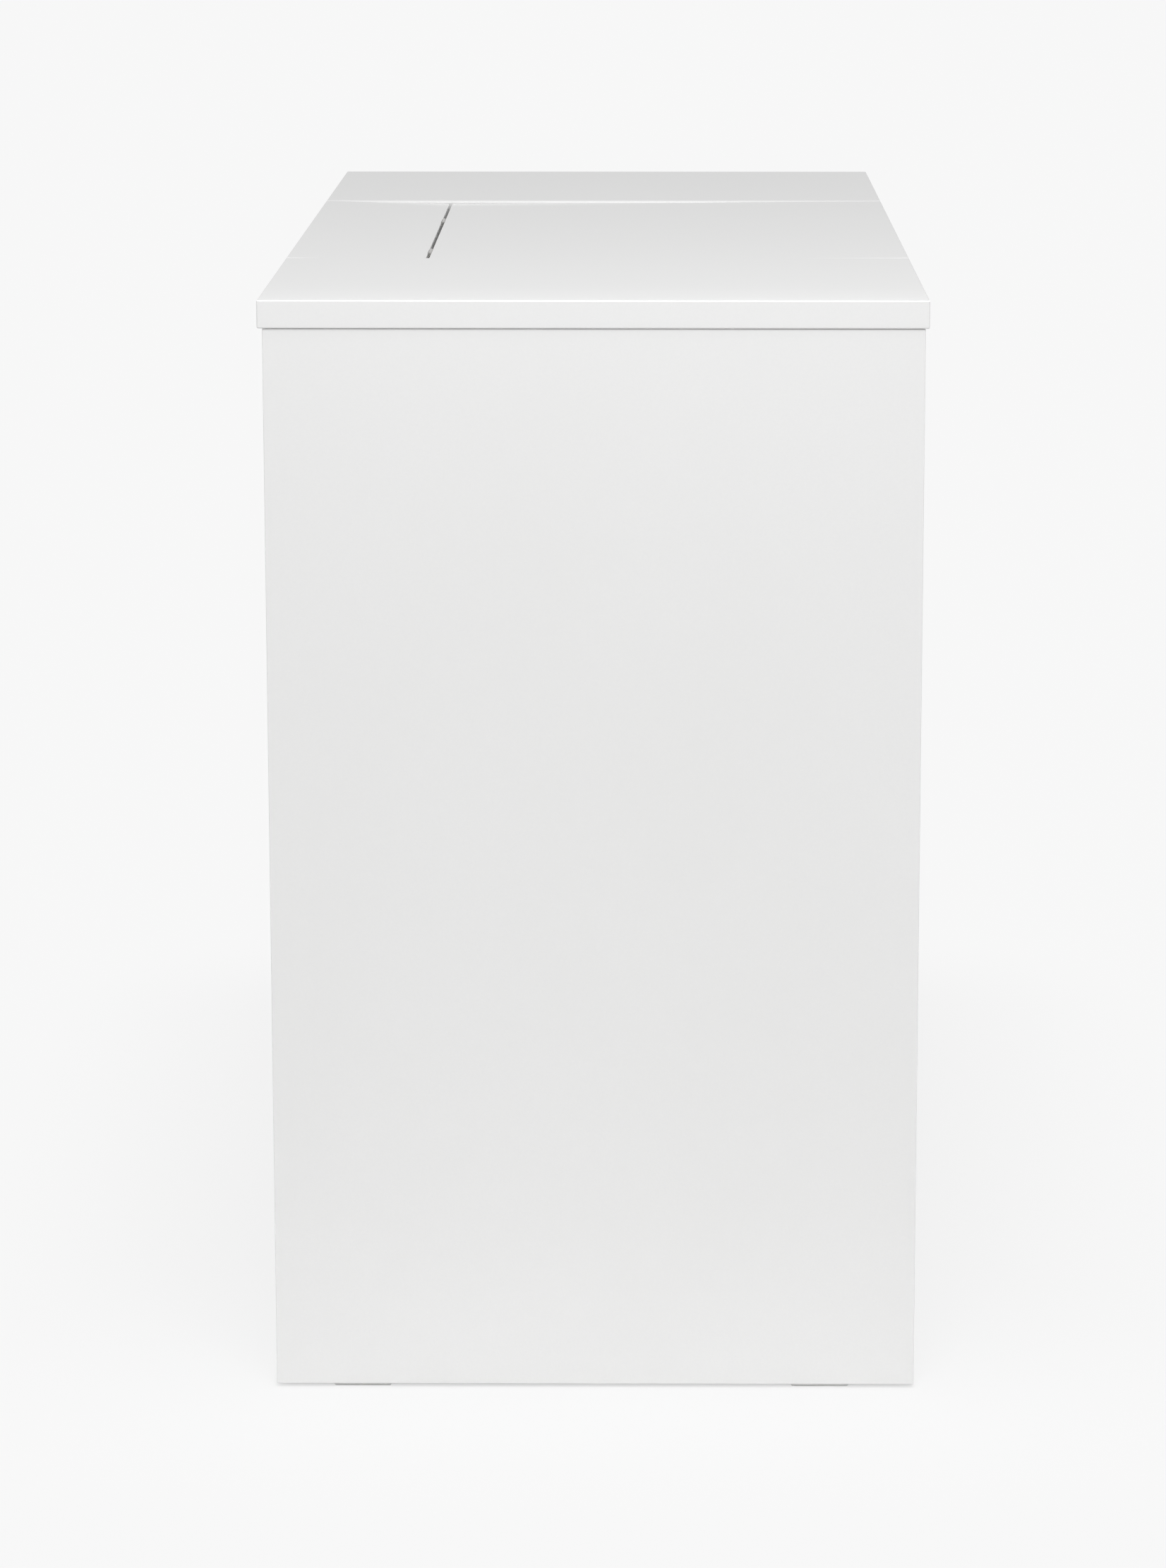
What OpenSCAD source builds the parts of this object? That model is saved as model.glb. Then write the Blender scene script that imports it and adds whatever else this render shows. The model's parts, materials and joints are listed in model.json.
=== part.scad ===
// Trash compactor in a three-bay cabinet. Millimetres, +Z up.
// Origin: centre of the footprint, on the floor. +X is the user's side, -Y and +Y are the ends.

/* [Cabinet] */
// Height from the floor to the top of the side boards
cabinet_h = 876; // [850:1:930]
// Length of the worktop from end to end
top_len = 1016; // [980:1:1100]
// Depth of the worktop from rear to front
top_depth = 516; // [500:1:560]
// Width of the centre bay, between the two worktop seams
bay_w = 457; // [455:1:480]
// Thickness of the worktop boards
top_t = 22; // [18:1:28]
// Thickness of the cabinet boards and fronts
board_t = 18; // [16:1:19]
// Thickness of the back panel
back_t = 6; // [4:1:8]
// How far the back panel sits in from the rear edge of the end panels
back_inset = 6; // [2:1:15]
// Height of the toe space under the bottom panel
plinth_h = 60; // [56:1:80]
// How far the front plinth stands back from the fronts
toe_depth = 52; // [50:1:80]
// Worktop overhang at the front
front_overhang = 3; // [1:0.5:10]
// Worktop overhang at the rear
rear_overhang = 4; // [2:0.5:10]
// Worktop overhang at each end
end_overhang = 3; // [1:0.5:10]
// Shadow gap between the end panels and the worktop
shadow_gap = 0.8; // [0.3:0.1:0.9]
// Chamfer on the edges of every board
edge_c = 1; // [0.5:0.1:2]
// Height of the open finger gap above the fronts
finger_gap = 28; // [22:1:40]
// Gap around the doors and the drawer front
front_gap = 2.5; // [2:0.1:4]
// Height of the rails under the side boards
rail_h = 60; // [45:1:80]
// Height of the shelves above the bottom panel
shelf_height = 360; // [200:10:600]
// Thickness of the shelves
shelf_t = 16; // [12:1:20]
// Distance that a shelf stands back from the doors, so that their pivoted edges swing past it
shelf_back = 17; // [16:1:60]
// Radius of the shelf pins
shelf_pin_r = 2.5; // [2:0.5:4]

/* [Glides] */
// Height of the floor glides
glide_h = 3; // [2:0.5:6]
// Length of a glide
glide_len = 48; // [30:1:60]
// Width of a glide
glide_w = 14; // [10:1:16]
// From the rear edge of an end panel to the middle of its rear glide
glide_rear = 68.5; // [40:0.5:120]
// From the front edge of an end panel to the middle of its front glide
glide_front = 75; // [55:0.5:120]

/* [Lid] */
// Width of the slot between the lid and the rear strip
lid_slot = 2.4; // [2.2:0.1:3]
// Depth of the fixed rear strip, from the rear edge to the middle of the slot
strip_depth = 116; // [90:1:140]
// Gap between the lid and the side boards
lid_side_gap = 1.2; // [0.5:0.1:1.5]
// How far the lid and strip lie below the side boards at the slot
drop_seam = 2.6; // [1.8:0.1:3]
// How far the lid lies below the side boards at the front edge
drop_front = 0.3; // [0:0.1:1.7]
// Depth of the hinge axis below the lid's top at the slot
pivot_depth = 1.3; // [0.9:0.1:1.4]
// Radius of the hinge barrels
barrel_r = 1.6; // [1.5:0.1:1.8]
// Radius of the hinge pins
hinge_pin_r = 0.8; // [0.7:0.1:1]
// Length of one hinge, three knuckles
hinge_len = 30; // [24:1:45]
// From the middle of the lid to the middle of its near hinge
hinge_near = 157; // [100:1:200]
// From the middle of the lid to the middle of its far hinge
hinge_far = 81; // [60:1:200]
// Height of the hinge leaves on the board edges
leaf_h = 16; // [12:1:18]
// Thickness of the hinge leaves
leaf_t = 0.8; // [0.6:0.1:0.8]

/* [Doors] */
// From the edge of a door to its pivot
pivot_in = 20; // [18:1:30]
// Radius of the door pivot pins
door_pin_r = 3; // [2.5:0.5:4]
// Depth that a pivot pin enters the door or its bearing
door_pin_in = 14; // [8:1:16]
// Width of the steel pivot bracket
bracket_w = 24; // [16:1:28]

/* [Chassis] */
// Thickness of the steel side frames and base
steel_t = 3; // [2:0.5:4]
// Width of each side frame, along the depth of the cabinet
side_frame_w = 180; // [120:5:220]
// Thickness of the power head plate
head_t = 4; // [3:0.5:6]
// Depth of the control well under the lid
well_depth = 76; // [70:1:82]
// Wall of the control well
well_wall = 2; // [1.5:0.5:3]

/* [Drive] */
// Pitch of the drive chain
chain_pitch = 9.525; // [9.5:0.005:9.55]
// Teeth on each of the three sprockets
teeth = 14; // [14:1:14]
// Half the distance between the screws, in chain links
half_links = 20; // [20:1:20]
// From the line of the screws back to the motor sprocket, in chain links
back_links = 15; // [15:1:15]
// Radius of the chain rollers
roller_r = 3.15; // [2.8:0.05:3.2]
// Thickness of the sprockets
sprocket_t = 5; // [4:0.1:5.2]
// Inside width of the chain
chain_in = 5.7; // [5.6:0.1:6.5]
// Thickness of one side of the chain
link_t = 1.1; // [0.8:0.1:1.4]
// Outside radius of the power screws
screw_r = 10; // [8:0.5:11]
// Rise of the ram for one turn of the screws
screw_lead = 10; // [5:1:12]
// Turns of the screws from the top of the stroke to the bottom
ram_turns = 28; // [20:1:28]
// Radius of the screws' upper journals and of the motor shaft
journal_r = 8; // [6:0.5:8]
// Radial clearance of every shaft in its bearing
run_clear = 0.05; // [0.02:0.01:0.1]
// Radius of the motor
motor_r = 45; // [35:1:50]
// Length of the motor below its gearbox
motor_len = 125; // [90:1:150]
// Height of the gearbox
gearbox_h = 38; // [28:1:45]

/* [Ram] */
// Length of the ram plate, along the depth of the cabinet
ram_len = 300; // [260:1:304]
// Width of the ram plate
ram_w = 290; // [250:1:292]
// Thickness of the ram plate
ram_plate_t = 8; // [5:0.5:10]
// Height of the rim around the ram plate
ram_rim_h = 25; // [10:1:40]
// Outside width of the square ram column
column_w = 120; // [90:1:140]
// Wall of the ram column and the cross beam
column_t = 3; // [2:0.5:4]
// Width of the cross beam
beam_w = 40; // [36:1:50]
// Height of the cross beam
beam_h = 38; // [30:1:40]

/* [Drawer] */
// Length of the bin, along the drawer's travel
bin_len = 330; // [324:1:336]
// Width of the bin
bin_w = 316; // [312:1:320]
// Height of the bin
bin_h = 293; // [293:1:296]
// Wall of the bin
bin_wall = 3; // [2:0.5:3]
// Radius of the bin's upright corners
bin_corner = 20; // [12:1:25]
// Space between the bin and the drawer front
bin_front_gap = 22; // [18:1:30]
// Thickness of the bag ring on the bin's rim
ring_t = 3; // [2:0.5:3]
// Height of the cradle's walls
cradle_h = 70; // [40:1:100]
// Wall of the cradle
cradle_t = 2; // [1.5:0.5:3]
// Length of the drawer slides
slide_len = 440; // [400:5:450]
// From the middle of the cabinet to each slide
slide_y = 110; // [80:1:130]

/* [Pedal] */
// Width of the foot plate
pedal_w = 90; // [70:1:96]
// Width of the pedal lever
lever_w = 12; // [10:1:14]
// Radius of the pedal's pivot pin
pedal_pin_r = 3; // [2.5:0.5:4]

/* [Controls] */
// Length of the control box, along the depth of the cabinet
box_len = 110; // [100:1:120]
// Width of the control box
box_w = 150; // [140:1:160]
// Height of the control box
box_h = 58; // [45:1:60]
// Wall of the control box
box_wall = 2; // [1.5:0.5:3]
// Radius of the push buttons
button_r = 9; // [7:0.5:12]
// Height that a push button stands above the box
button_up = 4; // [3.5:0.5:5]
// Radius of the cycle knob
knob_r = 16; // [12:1:20]
// Height of the cycle knob
knob_h = 9; // [6:1:9]
// Radius of the status lens
lens_r = 4; // [3:0.5:6]

/* [Hidden] */
$fn = 64;
sides = [-1, 1];
fit = 0.3;            // gap between pieces that move past or seat near each other
press = 0.02;         // radial gap of a pressed or keyed part
eps = 1;              // how far a cutter runs past the face that it opens

white = [0.93, 0.93, 0.93];
zinc = [0.72, 0.74, 0.76];
steel = [0.55, 0.57, 0.60];
graphite = [0.16, 0.17, 0.18];
bronze = [0.72, 0.55, 0.30];
grey = [0.62, 0.64, 0.66];

// Cabinet planes
front_x = top_depth / 2 - front_overhang;
rear_x = rear_overhang - top_depth / 2;
end_y = top_len / 2 - end_overhang;
end_in_y = end_y - board_t;
seam_y = bay_w / 2;
bay_in_y = seam_y - board_t / 2;
bay_out_y = seam_y + board_t / 2;
top_z = cabinet_h - top_t;
floor_z = glide_h + plinth_h;
deck_z = floor_z + board_t;
front_low_z = deck_z + front_gap;
front_top_z = top_z - finger_gap;
front_in_x = front_x - board_t;
back_x = rear_x + back_inset;
inner_x = back_x + back_t;
plinth_t = 16;
plinth_x = front_x - toe_depth - plinth_t;
side_bay_y = (bay_out_y + end_in_y) / 2;
side_bay_w = end_in_y - bay_out_y;

// Lid planes
seam_x = strip_depth - top_depth / 2;
seam_z = cabinet_h - drop_seam;
lid_len = top_depth / 2 - seam_x - lid_slot / 2;
strip_len = strip_depth - lid_slot / 2;
lid_tilt = asin((drop_seam - drop_front) / lid_len);
strip_tilt = asin(drop_seam / strip_len);
lid_w = bay_w - 2 * lid_side_gap;
axis_z = seam_z - pivot_depth;
ledge_z = seam_z - top_t - fit;
hinge_y = [-hinge_near, hinge_far];
knuckle_len = hinge_len / 3;
knuckle_gap = 0.3;

// Chassis, drive and ram
half_span = half_links * chain_pitch;
ram_x = front_in_x - bin_front_gap - bin_len / 2;
motor_x = ram_x - back_links * chain_pitch;
base_z = deck_z + steel_t;
side_frame_y = bay_in_y - steel_t;
well_z = ledge_z - fit - well_depth + 0.5;
sprocket_hub_h = 8;
hub_r = 14.4;
chain_drop = 26;
chain_clear = 3;
beam_clear = 10;
chain_h = chain_in + 2 * link_t;
chain_z = well_z - chain_drop;
head_z = chain_z - chain_h / 2 - chain_clear - head_t;
beam_z = head_z - beam_clear - beam_h;
stroke = ram_turns * screw_lead;
pitch_r = chain_pitch / (2 * sin(180 / teeth));
tip_r = pitch_r + 2.6;
sprocket_body_r = pitch_r - 0.8;
seat_r = roller_r + fit;
flank_r = chain_pitch - roller_r - 0.2;
link_half = 3.9;
rail_z = base_z;
rail_up = 21;
cradle_z = rail_z + rail_up;
bin_z = cradle_z + cradle_t;
rim_z = bin_z + bin_h;
plate_z = rim_z + ring_t + 12;
bush_flange_r = journal_r + 7;
bush_r = journal_r + 3;
bush_t = 3;
low_bracket_t = 12;
low_bracket_z = rim_z - 3 - low_bracket_t;
low_journal_r = screw_r - 3;
screw_z = low_bracket_z + 2;
screw_top = chain_z + sprocket_t / 2 + sprocket_hub_h + 2;
nut_r = screw_r + 3;

// Doors and drawer front
door_w = side_bay_w - 2 * front_gap;
door_h = front_top_z - front_low_z;
door_axis_x = front_x - board_t / 2;
door_axis_y = end_in_y - front_gap - pivot_in;
drawer_front_w = 2 * (bay_in_y - front_gap);

// Pedal
pedal_x = ram_x + 10;
pedal_z = base_z + 7;
nose_x = pedal_x + 74;
lever_slot = [pedal_x + 16, plinth_x + 2];
foot_z = floor_z - 33;
foot_t = 7;
foot_room = 9;
pedal_gap = 5;

// Control well
well_front_x = front_in_x - 20;
well_rear_x = seam_x + 5;
well_floor_z = well_z + well_wall;
well_top_z = ledge_z - fit;
box_x = well_front_x - 12 - box_len;
box_y = -bay_in_y + 14;
button_x = [box_x + 32, box_x + 74];
button_y = box_y + 30;
knob_at = [box_x + 54, button_y + 56];
lens_at = [box_x + 86, button_y + 94];
box_top_z = well_floor_z + box_h;

// Rectangle of the given size, centred, with its corners cut off
module cut_rect(w, h, c)
    polygon([
        [c - w / 2, -h / 2], [w / 2 - c, -h / 2], [w / 2, c - h / 2], [w / 2, h / 2 - c],
        [w / 2 - c, h / 2], [c - w / 2, h / 2], [-w / 2, h / 2 - c], [-w / 2, c - h / 2]
    ]);

// Board from one corner to the other with chamfered edges
module board(low, high, c = edge_c) {
    size = high - low;
    translate((low + high) / 2) intersection() {
        linear_extrude(size.z, center = true) cut_rect(size.x, size.y, c);
        rotate([90, 0, 0]) linear_extrude(size.y, center = true) cut_rect(size.x, size.z, c);
        rotate([90, 0, 90]) linear_extrude(size.x, center = true) cut_rect(size.y, size.z, c);
    }
}

// Plain block from one corner to the other
module block(low, high) translate(low) cube(high - low);

// Rectangle with round corners, centred
module round_rect(w, h, r) {
    square([w - 2 * r, h], center = true);
    square([w, h - 2 * r], center = true);
    for (x = sides, y = sides) translate([x * (w / 2 - r), y * (h / 2 - r)]) circle(r);
}

// Upright tube
module tube(r, bore, h) {
    difference() {
        cylinder(h, r = r);
        translate([0, 0, -eps]) cylinder(h + 2 * eps, r = bore);
    }
}

// Cabinet boards

module end_panel(side) {
    y = side < 0 ? [-end_y, -end_in_y] : [end_in_y, end_y];
    difference() {
        board([rear_x, y[0], glide_h], [front_x, y[1], top_z - shadow_gap]);
        shelf_pin_holes(side, end_in_y, 1);
    }
}

// Holes for the shelf pins in the face at distance face_y, going outward (1) or inward (-1)
module shelf_pin_holes(side, face_y, way)
    for (x = shelf_pin_x)
        translate([x, side * face_y, shelf_pin_z]) rotate([-90 * side * way, 0, 0])
            translate([0, 0, -eps]) cylinder(shelf_pin_in + eps, r = shelf_pin_r + press);

shelf_pin_in = 10;
shelf_pin_out = 8;
shelf_pin_x = [inner_x + 50, front_in_x - 50];
shelf_pin_z = deck_z + shelf_height - shelf_pin_r;

module partition(side) {
    inner = side * bay_in_y;
    middle = side * seam_y;
    outer = side * bay_out_y;
    difference() {
        union() {
            block([inner_x, min(inner, outer), deck_z], [front_x, max(inner, outer), ledge_z]);
            block([inner_x, min(middle, outer), ledge_z - eps], [front_x, max(middle, outer), top_z]);
        }
        shelf_pin_holes(side, bay_out_y, -1);
    }
}

module bottom_panel() difference() {
    block([inner_x, -end_in_y, floor_z], [front_x, end_in_y, deck_z]);
    block([lever_slot[0], -lever_w / 2 - pedal_gap, floor_z - eps],
        [lever_slot[1], lever_w / 2 + pedal_gap, deck_z + eps]);
    for (s = sides) translate([door_axis_x, s * door_axis_y, deck_z - door_pin_in])
        cylinder(door_pin_in + eps, r = door_pin_r + press);
}

vent_count = 9;
vent_w = 120;
vent_h = 5;
vent_pitch = 16;
vent_z = 560;
inlet_y = -150;
inlet_z = deck_z + 70;
inlet_w = 27;
inlet_h = 20;
inlet_flange = 5;
inlet_len = 24;
inlet_wall = 2;
flange_t = 2;
blade_at = [[-7, -2], [0, 3], [7, -2]];

module back_panel() difference() {
    block([back_x, -end_in_y, floor_z], [inner_x, end_in_y, top_z - shadow_gap - fit]);
    for (i = [0 : vent_count - 1])
        block([back_x - eps, -vent_w / 2, vent_z + i * vent_pitch],
            [inner_x + eps, vent_w / 2, vent_z + i * vent_pitch + vent_h]);
    block([back_x - eps, inlet_y - inlet_w / 2 - fit, inlet_z - inlet_h / 2 - fit],
        [inner_x + eps, inlet_y + inlet_w / 2 + fit, inlet_z + inlet_h / 2 + fit]);
}

module plinth_front() difference() {
    block([plinth_x, -end_in_y, glide_h], [plinth_x + plinth_t, end_in_y, floor_z]);
    block([plinth_x - eps, -pedal_w / 2 - pedal_gap, glide_h + 3],
        [plinth_x + plinth_t + eps, pedal_w / 2 + pedal_gap, foot_z + foot_t + foot_room]);
}

module plinth_rear()
    block([inner_x, -end_in_y, glide_h], [inner_x + plinth_t, end_in_y, floor_z]);

// Low pad, a little wider at the top than at the floor
module glide(x, y, w) translate([x, y, 0]) rotate([90, 0, 0])
    linear_extrude(w, center = true) polygon([
        [2 - glide_len / 2, 0], [glide_len / 2 - 2, 0], [glide_len / 2, glide_h], [-glide_len / 2, glide_h]
    ]);

module glides() color(white) {
    for (s = sides) {
        glide(rear_x + glide_rear, s * (end_y - board_t / 2), glide_w);
        glide(front_x - glide_front, s * (end_y - board_t / 2), glide_w);
        translate([plinth_x + plinth_t / 2, s * seam_y, 0]) rotate([0, 0, 90]) glide(0, 0, glide_w);
        translate([inner_x + plinth_t / 2, s * seam_y, 0]) rotate([0, 0, 90]) glide(0, 0, glide_w);
    }
}

rail_t = 18;
rail_front_x = front_in_x - 20;
strip_rail_up = 1.6;      // the strip tilts, so its rail stands this far above the lid's ledge

// Rails that carry the worktop: a front and a rear one in each side bay, and one under the strip
module top_rails() color(white) {
    for (s = sides, x = [inner_x, rail_front_x - rail_t])
        block([x, min(s * bay_out_y, s * end_in_y), top_z - rail_h],
            [x + rail_t, max(s * bay_out_y, s * end_in_y), top_z]);
    block([inner_x, -bay_in_y, top_z - rail_h], [inner_x + rail_t, bay_in_y, ledge_z + strip_rail_up]);
}

// Worktop

module worktop_side(side) {
    low = side < 0 ? -top_len / 2 : seam_y;
    board([-top_depth / 2, low, top_z], [top_depth / 2, low + top_len / 2 - seam_y, cabinet_h]);
}

// Clearance around the hinge barrels, cut into the lid and the strip
module barrel_notches() for (y = hinge_y)
    translate([seam_x, y, axis_z]) rotate([90, 0, 0])
        cylinder(hinge_len + 2 * fit, r = barrel_r + fit, center = true);

// Puts a child drawn at the slot edge (x = 0, top z = 0) onto the strip or the lid
module on_strip() translate([seam_x - lid_slot / 2, 0, seam_z]) rotate([0, strip_tilt, 0]) children();
module on_lid() translate([seam_x + lid_slot / 2, 0, seam_z]) rotate([0, -lid_tilt, 0]) children();

module worktop_rear() color(white) difference() {
    on_strip() board([-strip_len, -lid_w / 2, -top_t], [0, lid_w / 2, 0]);
    barrel_notches();
}

module lid() color(white) difference() {
    on_lid() board([0, -lid_w / 2, -top_t], [lid_len, lid_w / 2, 0]);
    barrel_notches();
}

leaf_top = -pivot_depth - barrel_r - fit;
// How far a neck runs down from the barrel, into its leaf
neck_lap = 2;

// Outline of a knuckle with its neck, seen along the pin. side is -1 on the strip and 1 on the lid.
module knuckle_outline(side) difference() {
    union() {
        circle(barrel_r);
        translate([side * lid_slot / 2, pivot_depth]) rotate(side < 0 ? -strip_tilt : lid_tilt)
            translate([side < 0 ? 0 : -leaf_t, -pivot_depth - barrel_r - neck_lap])
                square([leaf_t, barrel_r + neck_lap]);
    }
    circle(hinge_pin_r + run_clear);
}

// Knuckle number i of a hinge, 0 to 2
module knuckle(i, y, side) translate([seam_x, y + (i - 1) * knuckle_len, axis_z]) rotate([90, 0, 0])
    linear_extrude(knuckle_len - knuckle_gap, center = true) knuckle_outline(side);

module lid_leaves_fixed() color(steel) for (y = hinge_y) union() {
    on_strip() block([0, y - hinge_len / 2, -leaf_h], [leaf_t, y + hinge_len / 2, leaf_top]);
    for (i = [0, 2]) knuckle(i, y, -1);
}

module lid_leaves_moving() color(steel) for (y = hinge_y) union() {
    on_lid() block([-leaf_t, y - hinge_len / 2, -leaf_h], [0, y + hinge_len / 2, leaf_top]);
    knuckle(1, y, 1);
}

module lid_hinge_pins() color(zinc) for (y = hinge_y)
    translate([seam_x, y, axis_z]) rotate([90, 0, 0]) cylinder(hinge_len, r = hinge_pin_r, center = true);

// Side bays

module shelves() color(white) for (s = sides)
    board([inner_x + 2, s * side_bay_y - side_bay_w / 2 + 0.5, deck_z + shelf_height],
        [front_in_x - shelf_back, s * side_bay_y + side_bay_w / 2 - 0.5, deck_z + shelf_height + shelf_t]);

module shelf_pins() color(zinc) for (s = sides, x = shelf_pin_x) {
    translate([x, s * (end_in_y + shelf_pin_in), shelf_pin_z]) rotate([90 * s, 0, 0])
        cylinder(shelf_pin_in + shelf_pin_out, r = shelf_pin_r);
    translate([x, s * (bay_out_y - shelf_pin_in), shelf_pin_z]) rotate([-90 * s, 0, 0])
        cylinder(shelf_pin_in + shelf_pin_out, r = shelf_pin_r);
}

module door(side) difference() {
    board([front_in_x, side * side_bay_y - door_w / 2, front_low_z],
        [front_x, side * side_bay_y + door_w / 2, front_top_z]);
    for (z = [front_low_z - eps, front_top_z - door_pin_in - fit])
        translate([door_axis_x, side * door_axis_y, z])
            cylinder(door_pin_in + fit + eps, r = door_pin_r + run_clear);
}

module door_pins() color(zinc) for (s = sides) translate([door_axis_x, s * door_axis_y, 0]) {
    translate([0, 0, deck_z - door_pin_in]) cylinder(2 * door_pin_in + front_gap - fit, r = door_pin_r);
    translate([0, 0, front_top_z - door_pin_in]) cylinder(2 * door_pin_in + fit, r = door_pin_r);
}

// Steel blocks under the worktop that hold the doors' top pins
module door_brackets() color(zinc) for (s = sides) difference() {
    block([door_axis_x - board_t / 2, s * door_axis_y - bracket_w / 2, front_top_z + fit],
        [door_axis_x + board_t / 2 - 1, s * door_axis_y + bracket_w / 2, top_z]);
    translate([door_axis_x, s * door_axis_y, front_top_z])
        cylinder(door_pin_in + fit, r = door_pin_r + press);
}

// Chassis

base_in = 3;
base_back = 12;
base_lip_t = 3;
base_lip_h = 25;

module frame_base() color(zinc) difference() {
    union() {
        block([inner_x + base_in, -side_frame_y, deck_z], [front_in_x - base_back, side_frame_y, base_z]);
        for (s = sides)
            block([ram_x - side_frame_w / 2, min(s * (side_frame_y - base_lip_t), s * side_frame_y), deck_z],
                [ram_x + side_frame_w / 2, max(s * (side_frame_y - base_lip_t), s * side_frame_y),
                    base_z + base_lip_h]);
    }
    block([lever_slot[0], -lever_w / 2 - pedal_gap, deck_z - eps],
        [lever_slot[1], lever_w / 2 + pedal_gap, base_z + eps]);
}

window_w = 90;
window_h = 150;
window_corner = 20;
window_z = [base_z + 130, low_bracket_z + 160];

// Upright side plate with two weight-saving windows
module frame_side(side) difference() {
    block([ram_x - side_frame_w / 2, min(side * side_frame_y, side * bay_in_y), deck_z],
        [ram_x + side_frame_w / 2, max(side * side_frame_y, side * bay_in_y), head_z]);
    for (z = window_z) translate([ram_x, side * bay_in_y, z])
        rotate([90, 0, 0]) linear_extrude(4 * steel_t, center = true)
            round_rect(window_w, window_h, window_corner);
}

head_x = [motor_x - 60, ram_x + 70];
rib_x = 42;
rib_t = 4;
rib_h = 30;

module power_head() color(zinc) difference() {
    union() {
        block([head_x[0], -bay_in_y + fit, head_z], [head_x[1], bay_in_y - fit, head_z + head_t]);
        for (s = sides)
            block([ram_x + s * rib_x - rib_t / 2, fit - side_frame_y, head_z - rib_h],
                [ram_x + s * rib_x + rib_t / 2, side_frame_y - fit, head_z + eps]);
    }
    for (s = sides) translate([ram_x, s * half_span, head_z - eps])
        cylinder(head_t + 2 * eps, r = bush_r + press);
    translate([motor_x, 0, head_z - eps]) cylinder(head_t + 2 * eps, r = journal_r + 4);
}

// Flanged bushes: the upper pair in the power head, the lower pair in the brackets
module screw_bushes() color(bronze) for (s = sides) translate([ram_x, s * half_span, 0]) {
    translate([0, 0, head_z]) tube(bush_r, journal_r + run_clear, head_t);
    translate([0, 0, head_z - bush_t]) tube(bush_flange_r, journal_r + run_clear, bush_t);
    translate([0, 0, low_bracket_z]) tube(low_bush_r, low_journal_r + run_clear, low_bracket_t);
}

bracket_len = 50;
bracket_in = 12;
bracket_leg_t = 4;
bracket_leg_h = 45;
low_bush_r = low_journal_r + 3;

module bearing_brackets() color(steel) for (s = sides) difference() {
    union() {
        block([ram_x - bracket_len / 2, min(s * (half_span - bracket_in), s * side_frame_y), low_bracket_z],
            [ram_x + bracket_len / 2, max(s * (half_span - bracket_in), s * side_frame_y),
                low_bracket_z + low_bracket_t]);
        block([ram_x - bracket_len / 2, min(s * (side_frame_y - bracket_leg_t), s * side_frame_y),
                low_bracket_z - bracket_leg_h],
            [ram_x + bracket_len / 2, max(s * (side_frame_y - bracket_leg_t), s * side_frame_y),
                low_bracket_z + eps]);
    }
    translate([ram_x, s * half_span, low_bracket_z - eps])
        cylinder(low_bracket_t + 2 * eps, r = low_bush_r + press);
}

// Power screw: lower journal, threaded length drawn at its outside size, upper journal
module power_screw(side) translate([ram_x, side * half_span, 0]) {
    thread_z = low_bracket_z + low_bracket_t + fit;
    thread_top = head_z - bush_t - fit;
    translate([0, 0, screw_z]) cylinder(thread_z - screw_z + eps, r = low_journal_r);
    translate([0, 0, thread_z]) cylinder(thread_top - thread_z, r = screw_r);
    translate([0, 0, thread_top - eps]) cylinder(screw_top - thread_top + eps, r = journal_r);
}

// Sprocket with a roller seat at the angle turn, and its hub above.
// Each tooth lies inside the arcs on which the links swing away from the seats beside it.
module sprocket(turn) {
    linear_extrude(sprocket_t, center = true) difference() {
        union() {
            circle(sprocket_body_r);
            for (i = [0 : teeth - 1]) intersection() {
                circle(tip_r);
                rotate(turn + i * link_turn) translate([pitch_r, 0]) circle(flank_r);
                rotate(turn + (i + 1) * link_turn) translate([pitch_r, 0]) circle(flank_r);
            }
        }
        for (i = [0 : teeth - 1]) rotate(turn + i * link_turn) translate([pitch_r, 0]) circle(seat_r);
    }
    translate([0, 0, sprocket_t / 2 - 0.01]) cylinder(sprocket_hub_h, r = hub_r);
}

module screw_sprocket(side) translate([ram_x, side * half_span, chain_z]) difference() {
    sprocket(0);
    cylinder(4 * sprocket_hub_h, r = journal_r + press, center = true);
}

// Chain loop. Links are counted along the pitch line from the middle of the front run.
leg_links = sqrt(half_links * half_links + back_links * back_links);
leg_angle = atan(half_links / back_links);
screw_wrap = 90 + leg_angle;
motor_wrap = 90 - leg_angle;
link_turn = 360 / teeth;
arc_links = floor(screw_wrap / link_turn);
leg_start = arc_links + 1 - screw_wrap / link_turn;
leg_out = [cos(180 - motor_wrap), sin(180 - motor_wrap)];
leg_way = [-sin(180 - motor_wrap), cos(180 - motor_wrap)];

// Roller centres on the +Y half of the loop, without the two on the centre line
half_rollers = concat(
    [for (i = [1 : half_links]) [ram_x + pitch_r, i * chain_pitch]],
    [for (i = [1 : arc_links])
        [ram_x + pitch_r * cos(i * link_turn), half_span + pitch_r * sin(i * link_turn)]],
    [for (i = [0 : leg_links - 1])
        [ram_x, half_span] + pitch_r * leg_out + (leg_start + i) * chain_pitch * leg_way],
    [[motor_x - pitch_r * cos(link_turn), pitch_r * sin(link_turn)]]
);
centres = [[ram_x, half_span], [motor_x, 0], [ram_x, -half_span]];

// Rollers on the free runs. The ones on a sprocket are left out, so that its teeth turn clear.
all_rollers = concat(half_rollers, [for (p = half_rollers) [p.x, -p.y]],
    [[ram_x + pitch_r, 0], [motor_x - pitch_r, 0]]);
run_rollers = [for (p = all_rollers)
    if (min([for (c = centres) norm(p - c)]) > tip_r + roller_r + fit) p];

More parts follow.
